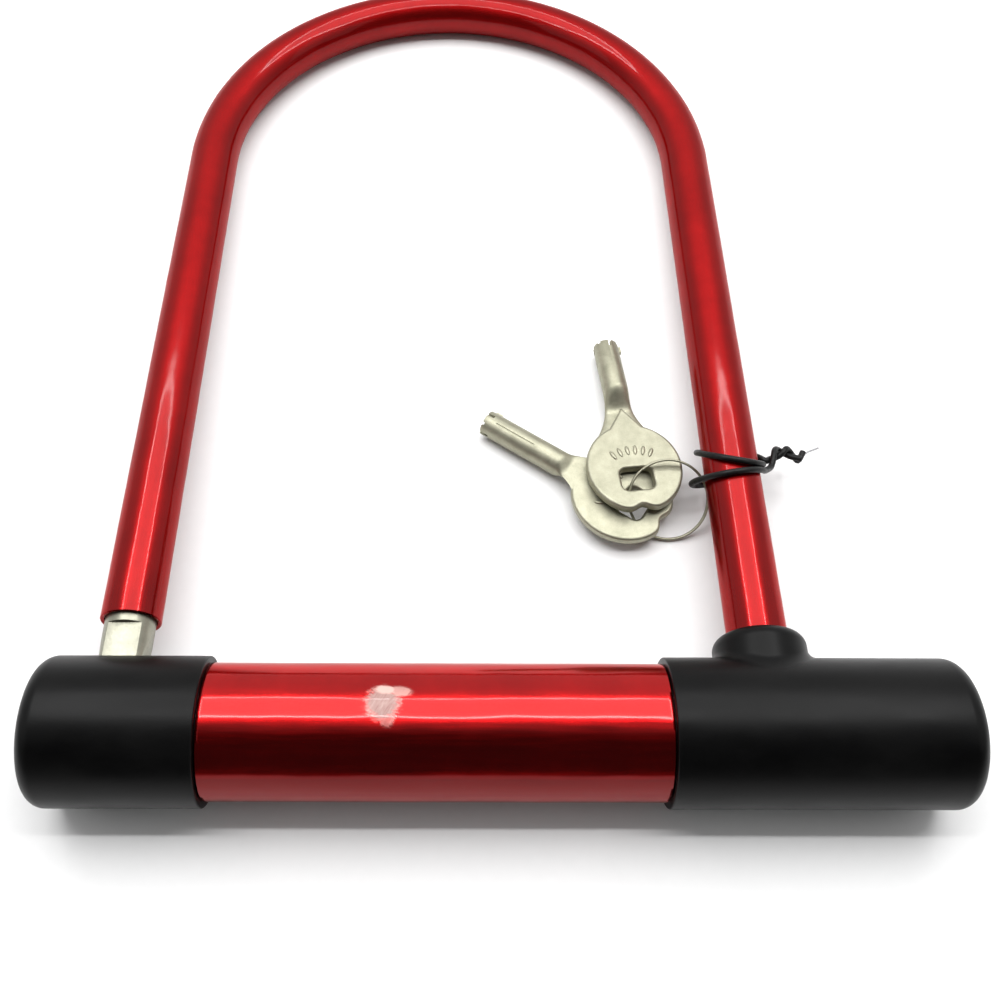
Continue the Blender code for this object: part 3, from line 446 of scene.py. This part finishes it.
def shackle_film_finish():
    """Film that is glossier at the feet and more satin up the legs, and darker than the crossbar's film as painted
    shade.
    """
    # Painted shade: this red film gets about half the brightness of the crossbar's film, standing in for the
    # weaker light that the legs catch.
    dark, light = (0.2, 0.0025, 0.003), (0.245, 0.0035, 0.004)
    finish, colour, streak = red_film("red_film_shackle", 1, dark, light, 0.3)
    along = finish.nodes.new("ShaderNodeSeparateXYZ")
    finish.links.new(finish.place, along.inputs[0])
    satin = finish.span(along.outputs["Y"], 20 * MM, 90 * MM, 0.22, 0.46)
    finish.link(colour, "Base Color")
    finish.link(finish.math("ADD", satin, finish.span(streak, 0.3, 0.75, -0.03, 0.05)), "Roughness")
    return finish.material


def crossbar_film_finish():
    """Film with one worn patch on top, rubbed through to its grey backing, and painted shade that darkens it low
    down.
    """
    dark, light = (0.38, 0.003, 0.004), (0.47, 0.004, 0.005)
    finish, colour, streak = red_film("red_film_crossbar", 0, dark, light, 0.45)
    height = finish.nodes.new("ShaderNodeSeparateXYZ")
    finish.links.new(finish.place, height.inputs[0])
    # Painted shade: low down, the film's colour is blended to a deep dark red, standing in for the shadowed floor
    # that the film mirrors there.
    colour = finish.mix(finish.span(height.outputs["Z"], *FILM_PAINTED_SHADE), (0.13, 0.001, 0.0015), colour)
    roughness = finish.span(streak, 0.3, 0.75, 0.16, 0.27)
    rubbed = finish.spots(RUBBED_SPOTS, radians(-14), 1.3, 0.5)
    lip = finish.spots(LIP_SPOTS, radians(-6), 0.7, 0.5)
    worn = finish.math("MAXIMUM", rubbed, lip)
    strokes = finish.noise(finish.patch((0, 0, 0), STROKE_SIZE, radians(62)), 5.0, 0.7)
    bare = finish.mix(finish.span(strokes, 0.36, 0.64), (0.3, 0.17, 0.155), (0.42, 0.3, 0.27))
    bare = finish.mix(lip, bare, (0.62, 0.42, 0.37))
    finish.link(finish.mix(worn, colour, bare), "Base Color")
    finish.link(finish.math("MAXIMUM", roughness, finish.math("MULTIPLY", worn, 0.6)), "Roughness")
    finish.link(finish.span(worn, 0, 1, 1.0, 0.2), "Metallic")
    finish.bump(finish.math("MULTIPLY", worn, strokes), 0.08 * MM)
    return finish.material


def black_plastic():
    """Moulded satin black plastic with a fine texture and soft handling marks."""
    finish = Finish("black_moulded_plastic")
    finish.set(Specular_IOR_Level=0.12)
    smudge = finish.noise(finish.stretched((45, 90, 90)), 3.0, 0.6)
    grain = finish.noise(finish.stretched((2600, 2600, 2600)), 2.0)
    colour = finish.mix(finish.span(smudge, 0.3, 0.7), (0.0015, 0.0015, 0.0016), (0.003, 0.003, 0.003))
    finish.link(colour, "Base Color")
    finish.link(finish.span(smudge, 0.3, 0.75, 0.32, 0.45), "Roughness")
    finish.bump(grain, 0.012 * MM)
    return finish.material


def plated(name, dark, light, roughness, grain_size, grain_depth):
    """Plated or bare metal with mottled tone and fine grain."""
    finish = Finish(name)
    finish.set(Metallic=1.0)
    mottle = finish.noise(finish.stretched((260, 260, 260)), 5.0, 0.65)
    grain = finish.noise(finish.stretched((1 / grain_size,) * 3), 2.0, 0.6)
    finish.link(finish.mix(finish.span(mottle, 0.3, 0.7), dark, light), "Base Color")
    finish.link(finish.span(grain, 0.3, 0.7, roughness * 0.8, roughness * 1.25), "Roughness")
    finish.bump(grain, grain_depth)
    return finish.material


def tie_plastic():
    """Black plastic skin drawn over a wire, with slight flats and ridges."""
    finish = Finish("tie_black_plastic")
    ridges = finish.noise(finish.stretched((700, 700, 700)), 3.0, 0.6)
    finish.set(Specular_IOR_Level=0.2)
    finish.link(finish.mix(ridges, (0.003, 0.003, 0.003), (0.01, 0.01, 0.01)), "Base Color")
    finish.link(finish.span(ridges, 0.3, 0.7, 0.32, 0.5), "Roughness")
    finish.bump(ridges, 0.15 * MM)
    return finish.material


# ---------------------------------------------------------------- shackle

def shackle_frames(left_end, right_end, step):
    """Places along the U as (centre, outward direction), evenly spaced on each straight and on the bend."""
    frames = []
    for i in range(leg_steps(left_end, step)):
        y = left_end + (LEG_STRAIGHT - left_end) * i / leg_steps(left_end, step)
        frames.append((Vector((-LEG_X, y, 0)), Vector((-1, 0, 0))))
    bend_steps = round(pi * LEG_X / step)
    for i in range(bend_steps + 1):
        angle = pi - pi * i / bend_steps
        outward = Vector((cos(angle), sin(angle), 0))
        frames.append((Vector((0, LEG_STRAIGHT, 0)) + outward * LEG_X, outward))
    for i in range(1, leg_steps(right_end, step) + 1):
        y = LEG_STRAIGHT + (right_end - LEG_STRAIGHT) * i / leg_steps(right_end, step)
        frames.append((Vector((LEG_X, y, 0)), Vector((1, 0, 0))))
    return frames


def leg_steps(end, step):
    return round((LEG_STRAIGHT - end) / step)


def tube_ring(place, radius, sides, ripple=0.0):
    """Points round a place on the U; ripple makes the surface gently uneven."""
    centre, outward = place
    points = []
    for i in range(sides):
        angle = 2 * pi * i / sides
        direction = outward * cos(angle) + Vector((0, 0, sin(angle)))
        uneven = ripple * film_wave(centre + direction * radius)
        points.append(centre + direction * (radius + uneven))
    return points


def film_wave(point):
    """Unevenness of shrunk film at a point, about -1 to 1."""
    broad = noise.noise(point * BROAD_WAVE)
    fine = noise.noise(point * FINE_WAVE + Vector((7, 3, 5)))
    return broad + FINE_SHARE * fine


def shackle_film():
    lip = 0.25 * MM
    sides = 72
    ends = (SLEEVE_LEFT_END, SLEEVE_RIGHT_END)
    places = shackle_frames(*ends, 2.5 * MM)
    inner = SLEEVE_RADIUS - SLEEVE_WALL
    outer_rings = [tube_ring(place, SLEEVE_RADIUS - SLEEVE_RIPPLE, sides, SLEEVE_RIPPLE) for place in places]
    first = tube_ring((places[0][0] - Vector((0, lip, 0)), places[0][1]), SLEEVE_RADIUS - lip, sides)
    last = tube_ring((places[-1][0] - Vector((0, lip, 0)), places[-1][1]), SLEEVE_RADIUS - lip, sides)
    inner_rings = [tube_ring(place, inner, sides) for place in reversed(places)]
    mesh = ring_mesh("shackle_film", [first, *outer_rings, last, *inner_rings], closed=True)
    film = new_object("shackle_film", mesh, LOCK)
    return piece(film, "shackle", "red_film", shackle_film_finish(), "shackle_sleeve")


def shackle_steel(material):
    """Bar with the milled left foot, the bolt notch and chamfered tips."""
    sides = 64
    places = shackle_frames(BAR_END + TIP_CHAMFER, BAR_END + TIP_CHAMFER, 5 * MM)
    rings = [tube_ring(place, BAR_RADIUS, sides) for place in places]
    tips = []
    for centre, outward in (places[0], places[-1]):
        place = (centre - Vector((0, TIP_CHAMFER, 0)), outward)
        tips.append(tube_ring(place, BAR_RADIUS - TIP_CHAMFER, sides))
    mesh = ring_mesh("shackle_steel", [tips[0], *rings, tips[1]], caps=True)
    bar = new_object("shackle_steel", mesh, LOCK)
    reach = 10 * MM
    notch_floor = LEG_X + BAR_RADIUS - NOTCH_DEPTH
    cutters = [block("notch", (notch_floor, -NOTCH_HALF, -reach), (LEG_X + reach, NOTCH_HALF, reach), LOCK)]
    for low, high in ((FOOT_FLAT, reach), (-reach, -FOOT_FLAT)):
        cutters.append(block("flat", (-LEG_X - reach, BAR_END - reach, low),
                             (-LEG_X + reach, FOOT_FLAT_START, high), LOCK))
    inset = BAR_RADIUS - FOOT_TAPER_LENGTH * tan(FOOT_TAPER)
    end = BAR_END - reach
    profile = [(BAR_RADIUS, FOOT_FLAT_START), (inset, FOOT_FLAT_START - FOOT_TAPER_LENGTH), (inset, end),
               (reach, end), (reach, FOOT_FLAT_START)]
    for sign in (-1, 1):
        rings = [[(-LEG_X + sign * x, y, z) for x, y in profile] for z in (-reach, reach)]
        cutters.append(new_object("foot_side", ring_mesh("foot_side", rings, caps=True), LOCK))
    carve(bar, cutters, edge=0.22 * MM)
    return piece(bar, "shackle", "bar_steel", material, "shackle_bar")


# ---------------------------------------------------------------- crossbar

def crossbar_film():
    """Film tube between the caps, with the slight waves of shrunk film."""
    sides, steps = 144, 120
    lip = 0.3 * MM
    left, right = LEFT_RIM + FILM_GAP, RIGHT_RIM - FILM_GAP
    angles = [2 * pi * k / sides for k in range(sides)]
    rings = []
    for i in range(steps + 1):
        x = left + lip + (right - left - 2 * lip) * i / steps
        ring = []
        for a in angles:
            around = Vector((x * FILM_WAVE_STRETCH, FILM_RADIUS * cos(a), FILM_RADIUS * sin(a)))
            radius = FILM_RADIUS - FILM_WAVE_INSET + FILM_WAVE * film_wave(around)
            ring.append((x, radius * cos(a), radius * sin(a)))
        rings.append(ring)
    rim = FILM_RADIUS - lip
    for x, radius in ((right, rim), (right, FILM_BORE), (left, FILM_BORE), (left, rim)):
        rings.append([(x, radius * cos(a), radius * sin(a)) for a in angles])
    mesh = ring_mesh("crossbar_film", rings, closed=True)
    film = new_object("crossbar_film", mesh, LOCK)
    return piece(film, "crossbar", "red_film", crossbar_film_finish(), "crossbar_sleeve")


def left_cap(material):
    corner = (LEFT_END + CAP_CORNER, CAP_RADIUS - CAP_CORNER)
    rim = (LEFT_RIM - CAP_RIM, CAP_RADIUS - CAP_RIM)
    wall = CAP_RADIUS - CAP_BORE
    pole = 0.5 * MM
    profile = [(LEFT_END, pole), *arc(corner, CAP_CORNER, 180, 90, CORNER_STEPS),
               *arc(rim, CAP_RIM, 90, 0, RIM_STEPS), (LEFT_RIM, CAP_BORE),
               (LEFT_END + wall, CAP_BORE), (LEFT_END + wall, pole)]
    cap = new_object("left_cap", lathe_mesh("left_cap", profile, CAP_SIDES), LOCK)
    hole = cylinder("foot_hole", (-LEG_X, 0, 0), (-LEG_X, CAP_RADIUS * 1.5, 0), FOOT_HOLE, LOCK)
    carve(cap, [hole])
    return piece(cap, "crossbar", "black_plastic", material, "left_end_cap")


def collar_rings(sides):
    """Rings of the collar about the leg, from its bore over the top to a fillet that meets the cap."""
    lip = 0.45 * MM
    root = CAP_RADIUS / 2
    rim = (COLLAR_RADIUS - COLLAR_ROUND, COLLAR_TOP - COLLAR_ROUND)
    fixed = [(COLLAR_BORE, root), (COLLAR_BORE, COLLAR_TOP - lip),
             *arc((COLLAR_BORE + lip, COLLAR_TOP - lip), lip, 180, 90, 3)[1:],
             *arc(rim, COLLAR_ROUND, 90, 0, 10)]
    fillet_steps = 8
    angles = [2 * pi * i / sides for i in range(sides)]
    rings = [[(radius, height)] * sides for radius, height in fixed]
    for i in range(fillet_steps + 1):
        rings.append([fillet_point(a, i / fillet_steps) for a in angles])
    rings.append([(COLLAR_RADIUS, root)] * sides)
    placed = []
    for ring in rings:
        placed.append([(LEG_X + r * cos(a), h, r * sin(a)) for (r, h), a in zip(ring, angles)])
    return placed


def fillet_point(angle, t):
    """(radius, height) on the curve that leads the collar's wall into the round of the cap."""
    def cap_height(radius):
        return sqrt(CAP_RADIUS ** 2 - (radius * sin(angle)) ** 2)
    foot = COLLAR_RADIUS + COLLAR_FILLET
    small = 0.1 * MM
    slope = Vector((small, cap_height(foot) - cap_height(foot - small))).normalized()
    bury = Vector((0, 0.03 * MM))
    start = Vector((COLLAR_RADIUS, cap_height(COLLAR_RADIUS) + COLLAR_FILLET))
    end = Vector((foot, cap_height(foot))) - bury
    pull = COLLAR_FILLET * 0.55
    points = (start, start - Vector((0, pull)), end - slope * pull, end)
    weights = ((1 - t) ** 3, 3 * t * (1 - t) ** 2, 3 * t * t * (1 - t), t ** 3)
    place = sum((w * p for w, p in zip(weights, points)), Vector((0, 0)))
    return place.x, place.y


def right_cap(material):
    corner = (RIGHT_END - CAP_CORNER, CAP_RADIUS - CAP_CORNER)
    rim = (RIGHT_RIM + CAP_RIM, CAP_RADIUS - CAP_RIM)
    mouth = (RIGHT_END - CAP_RIM, KEY_HOLE + CAP_RIM)
    inner_end = SHELL_FRONT + 0.4 * MM
    profile = [*arc(rim, CAP_RIM, 180, 90, RIM_STEPS), *arc(corner, CAP_CORNER, 90, 0, CORNER_STEPS),
               *arc(mouth, CAP_RIM, 0, -90, RIM_STEPS), (inner_end, KEY_HOLE), (inner_end, CAP_BORE),
               (RIGHT_RIM, CAP_BORE)]
    cap = new_object("right_cap", lathe_mesh("right_cap", profile, CAP_SIDES), LOCK)
    bore = cylinder("leg_bore", (LEG_X, 0, 0), (LEG_X, CAP_RADIUS * 1.5, 0), COLLAR_BORE + 0.05 * MM, LOCK)
    carve(cap, [bore])
    piece(cap, "crossbar", "black_plastic", material, "right_end_cap")
    mesh = ring_mesh("right_cap_collar", collar_rings(96), closed=True)
    collar = new_object("right_cap_collar", mesh, LOCK)
    return piece(collar, "crossbar", "black_plastic", material)


def lock_nose(material):
    """Housing of the lock cylinder, whose nose with the round keyway shows at the right end."""
    edge = 0.5 * MM
    front = (NOSE_FACE - edge, NOSE_RADIUS - edge)
    mouth = (NOSE_FACE - edge, KEYWAY_RADIUS + edge)
    profile = [(SHELL_BACK, SHELL_RADIUS), (SHELL_FRONT, SHELL_RADIUS), (SHELL_FRONT, NOSE_RADIUS),
               *arc(front, edge, 90, 0, RIM_STEPS), *arc(mouth, edge, 0, -90, RIM_STEPS),
               (KEYWAY_DEPTH, KEYWAY_RADIUS), (KEYWAY_DEPTH, SHELL_BORE), (SHELL_BACK, SHELL_BORE)]
    nose = new_object("lock_nose", lathe_mesh("lock_nose", profile, 96), LOCK)
    half = LUG_HALF + LUG_GAP
    slot = block("lug_slot", (NOSE_FACE - LUG_LENGTH - MM, KEYWAY_RADIUS - MM, -half),
                 (RIGHT_END, LUG_TOP + LUG_GAP, half), LOCK)
    carve(nose, [slot])
    return piece(nose, "crossbar", "nickel", material, "lock_shell")


# ---------------------------------------------------------------- keys, ring and tie

def bow_outline():
    """Oval bow with a pointed tongue at +Y and a rounded hollow in the far edge."""
    shoulder = acos(TONGUE_HALF / BOW_WIDE)
    steps = 150
    outline = [(0.0, TONGUE_TIP)]
    for i in range(steps + 1):
        angle = shoulder - (pi + 2 * shoulder) * i / steps
        from_hollow = angle + pi / 2
        scale = 1 - HOLLOW_DEPTH / BOW_LONG * exp(-(from_hollow / HOLLOW_WIDTH) ** 2)
        outline.append((BOW_WIDE * scale * cos(angle), BOW_Y + BOW_LONG * scale * sin(angle)))
    return outline


def slot_outline():
    """Rounded rectangle for the ring."""
    half_x, half_y = KEY_SLOT[0] / 2 - KEY_SLOT_CORNER, KEY_SLOT[1] / 2 - KEY_SLOT_CORNER
    points = []
    for sign_x, sign_y, start in ((1, 1, 0), (-1, 1, 90), (-1, -1, 180), (1, -1, 270)):
        centre = (sign_x * half_x, KEY_SLOT_Y + sign_y * half_y)
        points += arc(centre, KEY_SLOT_CORNER, start, start + 90, 8)
    return points


def key_bow(name, place):
    """Bow plate with rounded edges all round."""
    curve = bpy.data.curves.new(name, "CURVE")
    curve.dimensions = "2D"
    curve.fill_mode = "BOTH"
    curve.extrude = BOW_HALF - BOW_EDGE
    curve.bevel_depth = BOW_EDGE
    curve.bevel_resolution = 3
    curve.offset = -BOW_EDGE
    for outline in (bow_outline(), slot_outline()):
        spline = curve.splines.new("POLY")
        spline.points.add(len(outline) - 1)
        for point, (x, y) in zip(spline.points, outline):
            point.co = (x, y, 0.0, 1.0)
        spline.use_cyclic_u = True
    bow = new_object(name, curve, place @ Matrix.Translation((0, 0, BOW_RISE)))
    graph = bpy.context.evaluated_depsgraph_get()
    mesh = bpy.data.meshes.new_from_object(bow.evaluated_get(graph))
    bpy.data.objects.remove(bow)
    finish_mesh(mesh)
    return new_object(name, mesh, place @ Matrix.Translation((0, 0, BOW_RISE)))


def pressed_sections(turned_over):
    """(y, half width, top, bottom) along the barrel's pressed end, under the bow or, turned over, on it."""
    steps = 30
    widest, neck_end = (OVER_HALF, OVER_NECK_END) if turned_over else (PRESSED_HALF, NECK_END)
    sections = []
    for i in range(steps + 1):
        y = PRESSED_END + (NECK_SLOPE_END - PRESSED_END) * i / steps
        t = min((y - PRESSED_END) / (neck_end - PRESSED_END), 1.0)
        half = KEY_RADIUS + (widest - KEY_RADIUS) * (1 - t) ** 2
        if turned_over:
            rise = smooth_step((y - OVER_RISE_START) / (OVER_RISE_END - OVER_RISE_START))
            top = OVER_TOP + (KEY_RADIUS - OVER_TOP) * rise
            bottom = OVER_BOTTOM - (KEY_RADIUS + OVER_BOTTOM) * rise
        else:
            swell = smooth_step((y - NECK_START) / (NECK_SLOPE_END - NECK_START))
            top = PRESSED_TOP + (KEY_RADIUS - PRESSED_TOP) * swell
            bottom = PRESSED_BOTTOM - (KEY_RADIUS + PRESSED_BOTTOM) * t
        sections.append((y, half, top, bottom))
    return sections


def key_barrel(name, place, turned_over):
    """Rolled barrel with its seam, pressed flat and wide at the bow, and cut at its hollow tip."""
    sides = 72
    edge = 0.35 * MM
    sections = pressed_sections(turned_over)
    for y, radius in ((KEY_TIP - edge, KEY_RADIUS), (KEY_TIP - edge * 0.3, KEY_RADIUS - edge * 0.3),
                      (KEY_TIP, KEY_RADIUS - edge), (KEY_TIP, KEY_BORE), (KEY_BORE_END, KEY_BORE)):
        sections.append((y, radius, radius, -radius))
    angles = [2 * pi * i / sides for i in range(sides)]
    rings = []
    for y, half, top, bottom in sections:
        middle, rise = (top + bottom) / 2, (top - bottom) / 2
        rings.append([Vector((half * cos(a), y, middle + rise * sin(a))) for a in angles])
    barrel = new_object(name, ring_mesh(name, rings, caps=True), place)
    seam_angle = radians(100 if turned_over else -80)
    seam_x, seam_z = KEY_RADIUS * cos(seam_angle), KEY_RADIUS * sin(seam_angle)
    seam_ends = [(seam_x, y, seam_z) for y in (NECK_SLOPE_END, KEY_TIP - 4 * MM)]
    cutters = [cylinder("seam", *seam_ends, SEAM_RADIUS, place, 12)]
    for i, depth in enumerate(KEY_CUTS):
        angle = 2 * pi * (i + 0.5) / len(KEY_CUTS)
        x, z = PIN_CIRCLE * cos(angle), PIN_CIRCLE * sin(angle)
        cut_ends = [(x, y, z) for y in (KEY_TIP - depth * MM, KEY_TIP + MM)]
        cutters.append(cylinder("cut", *cut_ends, PIN_HOLE, place, 16))
    carve(barrel, cutters)
    lug = block("lug", (KEY_RADIUS - 0.4 * MM, KEY_TIP - MM - LUG_LENGTH, -LUG_HALF),
                (LUG_TOP, KEY_TIP - MM, LUG_HALF), place)
    carve(barrel, [lug], "UNION")
    return barrel


def key_ribs(name, place):
    """A plain fan of raised ribs above the ring hole, for grip."""
    shape = bmesh.new()
    for i in range(RIB_COUNT):
        angle = radians(90 + RIB_FAN_STEP * (i - (RIB_COUNT - 1) / 2))
        x, y = RIB_FAN_RADIUS * cos(angle), RIB_FAN_Y + RIB_FAN_RADIUS * sin(angle)
        middle = Vector((x, y, BOW_RISE + BOW_HALF))
        turned = Matrix.Rotation(angle, 4, "Z")
        scale = Matrix.Diagonal((*RIB_SIZE, 1))
        bmesh.ops.create_uvsphere(shape, u_segments=20, v_segments=12, radius=1.0,
                                  matrix=Matrix.Translation(middle) @ turned @ scale)
    mesh = bpy.data.meshes.new(name)
    shape.to_mesh(mesh)
    shape.free()
    finish_mesh(mesh)
    return new_object(name, mesh, place)


def keys(material):
    for name, bow_centre, heading, slope, turned_over in KEY_POSES:
        place = GROUND @ Matrix.Translation(bow_centre) @ Euler((slope, 0, heading)).to_matrix().to_4x4()
        piece(key_bow(name + "_plate", place), name, "nickel", material, name + "_bow")
        barrel = key_barrel(name + "_tube", place, turned_over)
        piece(barrel, name, "nickel", material, name + "_barrel")
        piece(key_ribs(name + "_ribs", place), name, "nickel", material)


def wire(name, points, radius, place, resolution=6, order=4):
    """A smooth round wire near the given points."""
    curve = bpy.data.curves.new(name, "CURVE")
    curve.dimensions = "3D"
    curve.bevel_depth = radius
    curve.bevel_resolution = resolution
    curve.resolution_u = 5
    curve.use_fill_caps = True
    spline = curve.splines.new("NURBS")
    spline.points.add(len(points) - 1)
    for target, point in zip(spline.points, points):
        target.co = (*point, 1.0)
    spline.use_endpoint_u = True
    spline.order_u = order
    return new_object(name, curve, place)


def split_ring(material):
    """Two close turns of wire."""
    per_turn = 64
    place = GROUND @ Matrix.Translation(RING_CENTRE) @ Matrix.Rotation(RING_TILT, 4, "X")
    points = []
    for i in range(2 * per_turn):
        angle = RING_START + 2 * pi * i / per_turn
        points.append((RING_RADIUS * cos(angle), RING_RADIUS * sin(angle), RING_LIFT * (i / per_turn - 1)))
    ring = wire("split_ring", points, RING_WIRE, place)
    return piece(ring, "ring", "nickel", material, "key_ring")


def tie_wraps():
    """Two turns of the tie round the right leg, starting and ending at its right side."""
    snug = SLEEVE_RADIUS + TIE_WIRE + TIE_GAP
    steps = 48
    halves = len(TIE_ALONG_LEG) - 1
    wraps = []
    for i in range(steps + 1):
        half_turns = halves * i / steps
        half = min(int(half_turns), halves - 1)
        blend = smooth_step(half_turns - half)
        y = (TIE_ALONG_LEG[half] * (1 - blend) + TIE_ALONG_LEG[half + 1] * blend) * MM
        angle = pi * half_turns
        y -= TIE_LEAN[half // 2] * sin(angle)
        leg_z = CAP_RADIUS - y * sin(TILT)
        radius = snug + TIE_BULGE * exp(-((angle - TIE_BULGE_AT) / TIE_BULGE_WIDTH) ** 2)
        wraps.append(Vector((LEG_X + radius * cos(angle), y, leg_z + radius * sin(angle))))
    return wraps


def tie_strand(phase):
    """One of the two strands that twist round each other, from the leg outwards."""
    near, middle, far = TWIST_LINE
    across_x, across_y = TWIST_ACROSS
    steps = 18
    strand = []
    for i in range(steps + 1):
        t = i / steps
        centre = near * (1 - t) ** 2 + middle * 2 * t * (1 - t) + far * t * t
        angle = phase + 2 * pi * TWIST_TURNS * t
        offset = Vector((across_x * cos(angle), across_y * cos(angle), -sin(angle)))
        strand.append(centre + offset * TWIST_RADIUS)
    return strand


def twist_tie(skin, metal):
    """Plastic-covered wire tie; its bare wire end shows beyond the twist."""
    second = tie_strand(0)
    points = [*reversed(tie_strand(pi)), *tie_wraps()[1:-1], *second, TWIST_TAIL[0]]
    piece(wire("tie", points, TIE_WIRE, GROUND), "shackle", "tie_plastic", skin, "twist_tie")
    tail = [second[-1], *TWIST_TAIL]
    piece(wire("tie_wire_end", tail, TAIL_WIRE, GROUND), "shackle", "spring_steel", metal)


# ---------------------------------------------------------------- carried-over CAD nodes

def dress_cad_nodes(by_slot):
    """Give every CAD node that still shows the finish of its material slot."""
    slots = {row["node"]: row["material_slot"] for row in frame["record"]["subparts"]}
    for name, obj in frame["nodes"].items():
        if obj.hide_render:
            continue
        for i in range(len(obj.data.materials)):
            obj.data.materials[i] = by_slot[slots[name]]


# ---------------------------------------------------------------- studio

def camera():
    data = bpy.data.cameras.new("camera")
    data.sensor_width = 36
    data.lens = 39.96
    data.shift_x = 0.0286
    data.shift_y = -0.1023
    data.clip_start = 0.01
    data.clip_end = 20
    obj = bpy.data.objects.new("camera", data)
    obj.location = (-11.51 * MM, -210.04 * MM, 293.48 * MM)
    obj.rotation_euler = (radians(32.028), radians(-0.799), radians(-0.069))
    bpy.context.scene.collection.objects.link(obj)
    bpy.context.scene.camera = obj


def area_light(name, size_x, size_y, location, aim, power, colour=(1, 1, 1)):
    data = bpy.data.lights.new(name, "AREA")
    data.shape = "RECTANGLE"
    data.size = size_x
    data.size_y = size_y
    data.energy = power
    data.color = colour
    obj = bpy.data.objects.new(name, data)
    obj.location = location
    obj.rotation_euler = (Vector(aim) - Vector(location)).to_track_quat("-Z", "Y").to_euler()
    bpy.context.scene.collection.objects.link(obj)


def lights():
    """A ring of tube lights above and behind the lock, a panel inside it, and a soft light each side."""
    height = 0.8
    near, far, side = -0.03, 0.53, 0.44
    middle = (near + far) / 2
    tube = 0.03
    depth = far - near
    tubes = (("tube_near", 0, near, 2 * side, tube), ("tube_far", 0, far, 2 * side, tube),
             ("tube_left", -side, middle, tube, depth), ("tube_right", side, middle, tube, depth))
    for name, x, y, size_x, size_y in tubes:
        area_light(name, size_x, size_y, (x, y, height), (x, y, 0), 2.2)
    area_light("panel", 2 * side, depth, (0, middle, height + 0.05), (0, middle, 0), 3.7)
    for name, x in (("soft_left", -1.0), ("soft_right", 1.0)):
        area_light(name, 0.8, 0.8, (x, -0.35, 0.75), (0, -0.05, 0), 1.3)


def floor():
    size = 1.4
    shape = bmesh.new()
    bmesh.ops.create_grid(shape, x_segments=2, y_segments=2, size=size)
    mesh = bpy.data.meshes.new("floor")
    shape.to_mesh(mesh)
    shape.free()
    obj = new_object("floor", mesh, Matrix.Identity(4))
    finish = Finish("floor_paper")
    grain = finish.noise(finish.stretched((300, 300, 300)), 3.0)
    finish.link(finish.mix(grain, (0.86, 0.86, 0.86), (0.89, 0.89, 0.89)), "Base Color")
    finish.set(Roughness=0.8)
    mesh.materials.append(finish.material)


def surroundings():
    """A room that is pale towards the back and low down, and dark overhead behind the camera."""
    world = bpy.data.worlds.new("studio")
    bpy.context.scene.world = world
    world.use_nodes = True
    nodes, links = world.node_tree.nodes, world.node_tree.links
    background = nodes["Background"]
    background.inputs["Color"].default_value = (1, 1, 1, 1)
    direction = nodes.new("ShaderNodeTexCoord").outputs["Generated"]
    split = nodes.new("ShaderNodeSeparateXYZ")
    links.new(direction, split.inputs[0])
    ramp = nodes.new("ShaderNodeMapRange")
    ramp.inputs["From Min"].default_value = -0.35
    ramp.inputs["From Max"].default_value = 0.35
    ramp.inputs["To Min"].default_value = 0.06
    ramp.inputs["To Max"].default_value = 0.95
    links.new(split.outputs["Y"], ramp.inputs["Value"])
    links.new(ramp.outputs["Result"], background.inputs["Strength"])
    bpy.context.scene.view_settings.view_transform = "Standard"


camera()
floor()
lights()
surroundings()

nickel = plated("satin_nickel", (0.29, 0.285, 0.213), (0.39, 0.38, 0.29), 0.48, 0.3 * MM, 0.03 * MM)
bar_steel = plated("plated_bar_steel", (0.25, 0.246, 0.2), (0.33, 0.325, 0.26), 0.4, 0.4 * MM, 0.01 * MM)
tube_steel = plated("drawn_steel", (0.30, 0.30, 0.31), (0.44, 0.44, 0.45), 0.4, 0.5 * MM, 0.01 * MM)
zinc = plated("die_cast_zinc", (0.40, 0.40, 0.41), (0.54, 0.54, 0.55), 0.5, 0.6 * MM, 0.02 * MM)
brass = plated("turned_brass", (0.62, 0.43, 0.17), (0.78, 0.58, 0.27), 0.3, 0.3 * MM, 0.006 * MM)
spring_steel = plated("bright_wire", (0.48, 0.48, 0.49), (0.62, 0.62, 0.63), 0.25, 0.3 * MM, 0.004 * MM)
plastic = black_plastic()
tie_skin = tie_plastic()

shackle_film()
shackle_steel(bar_steel)
crossbar_film()
left_cap(plastic)
right_cap(plastic)
lock_nose(nickel)
keys(nickel)
split_ring(nickel)
twist_tie(tie_skin, spring_steel)
dress_cad_nodes({"nickel": nickel, "bar_steel": bar_steel, "tube_steel": tube_steel, "zinc": zinc,
                 "brass": brass, "spring_steel": spring_steel, "tie_plastic": tie_skin,
                 "black_plastic": plastic})
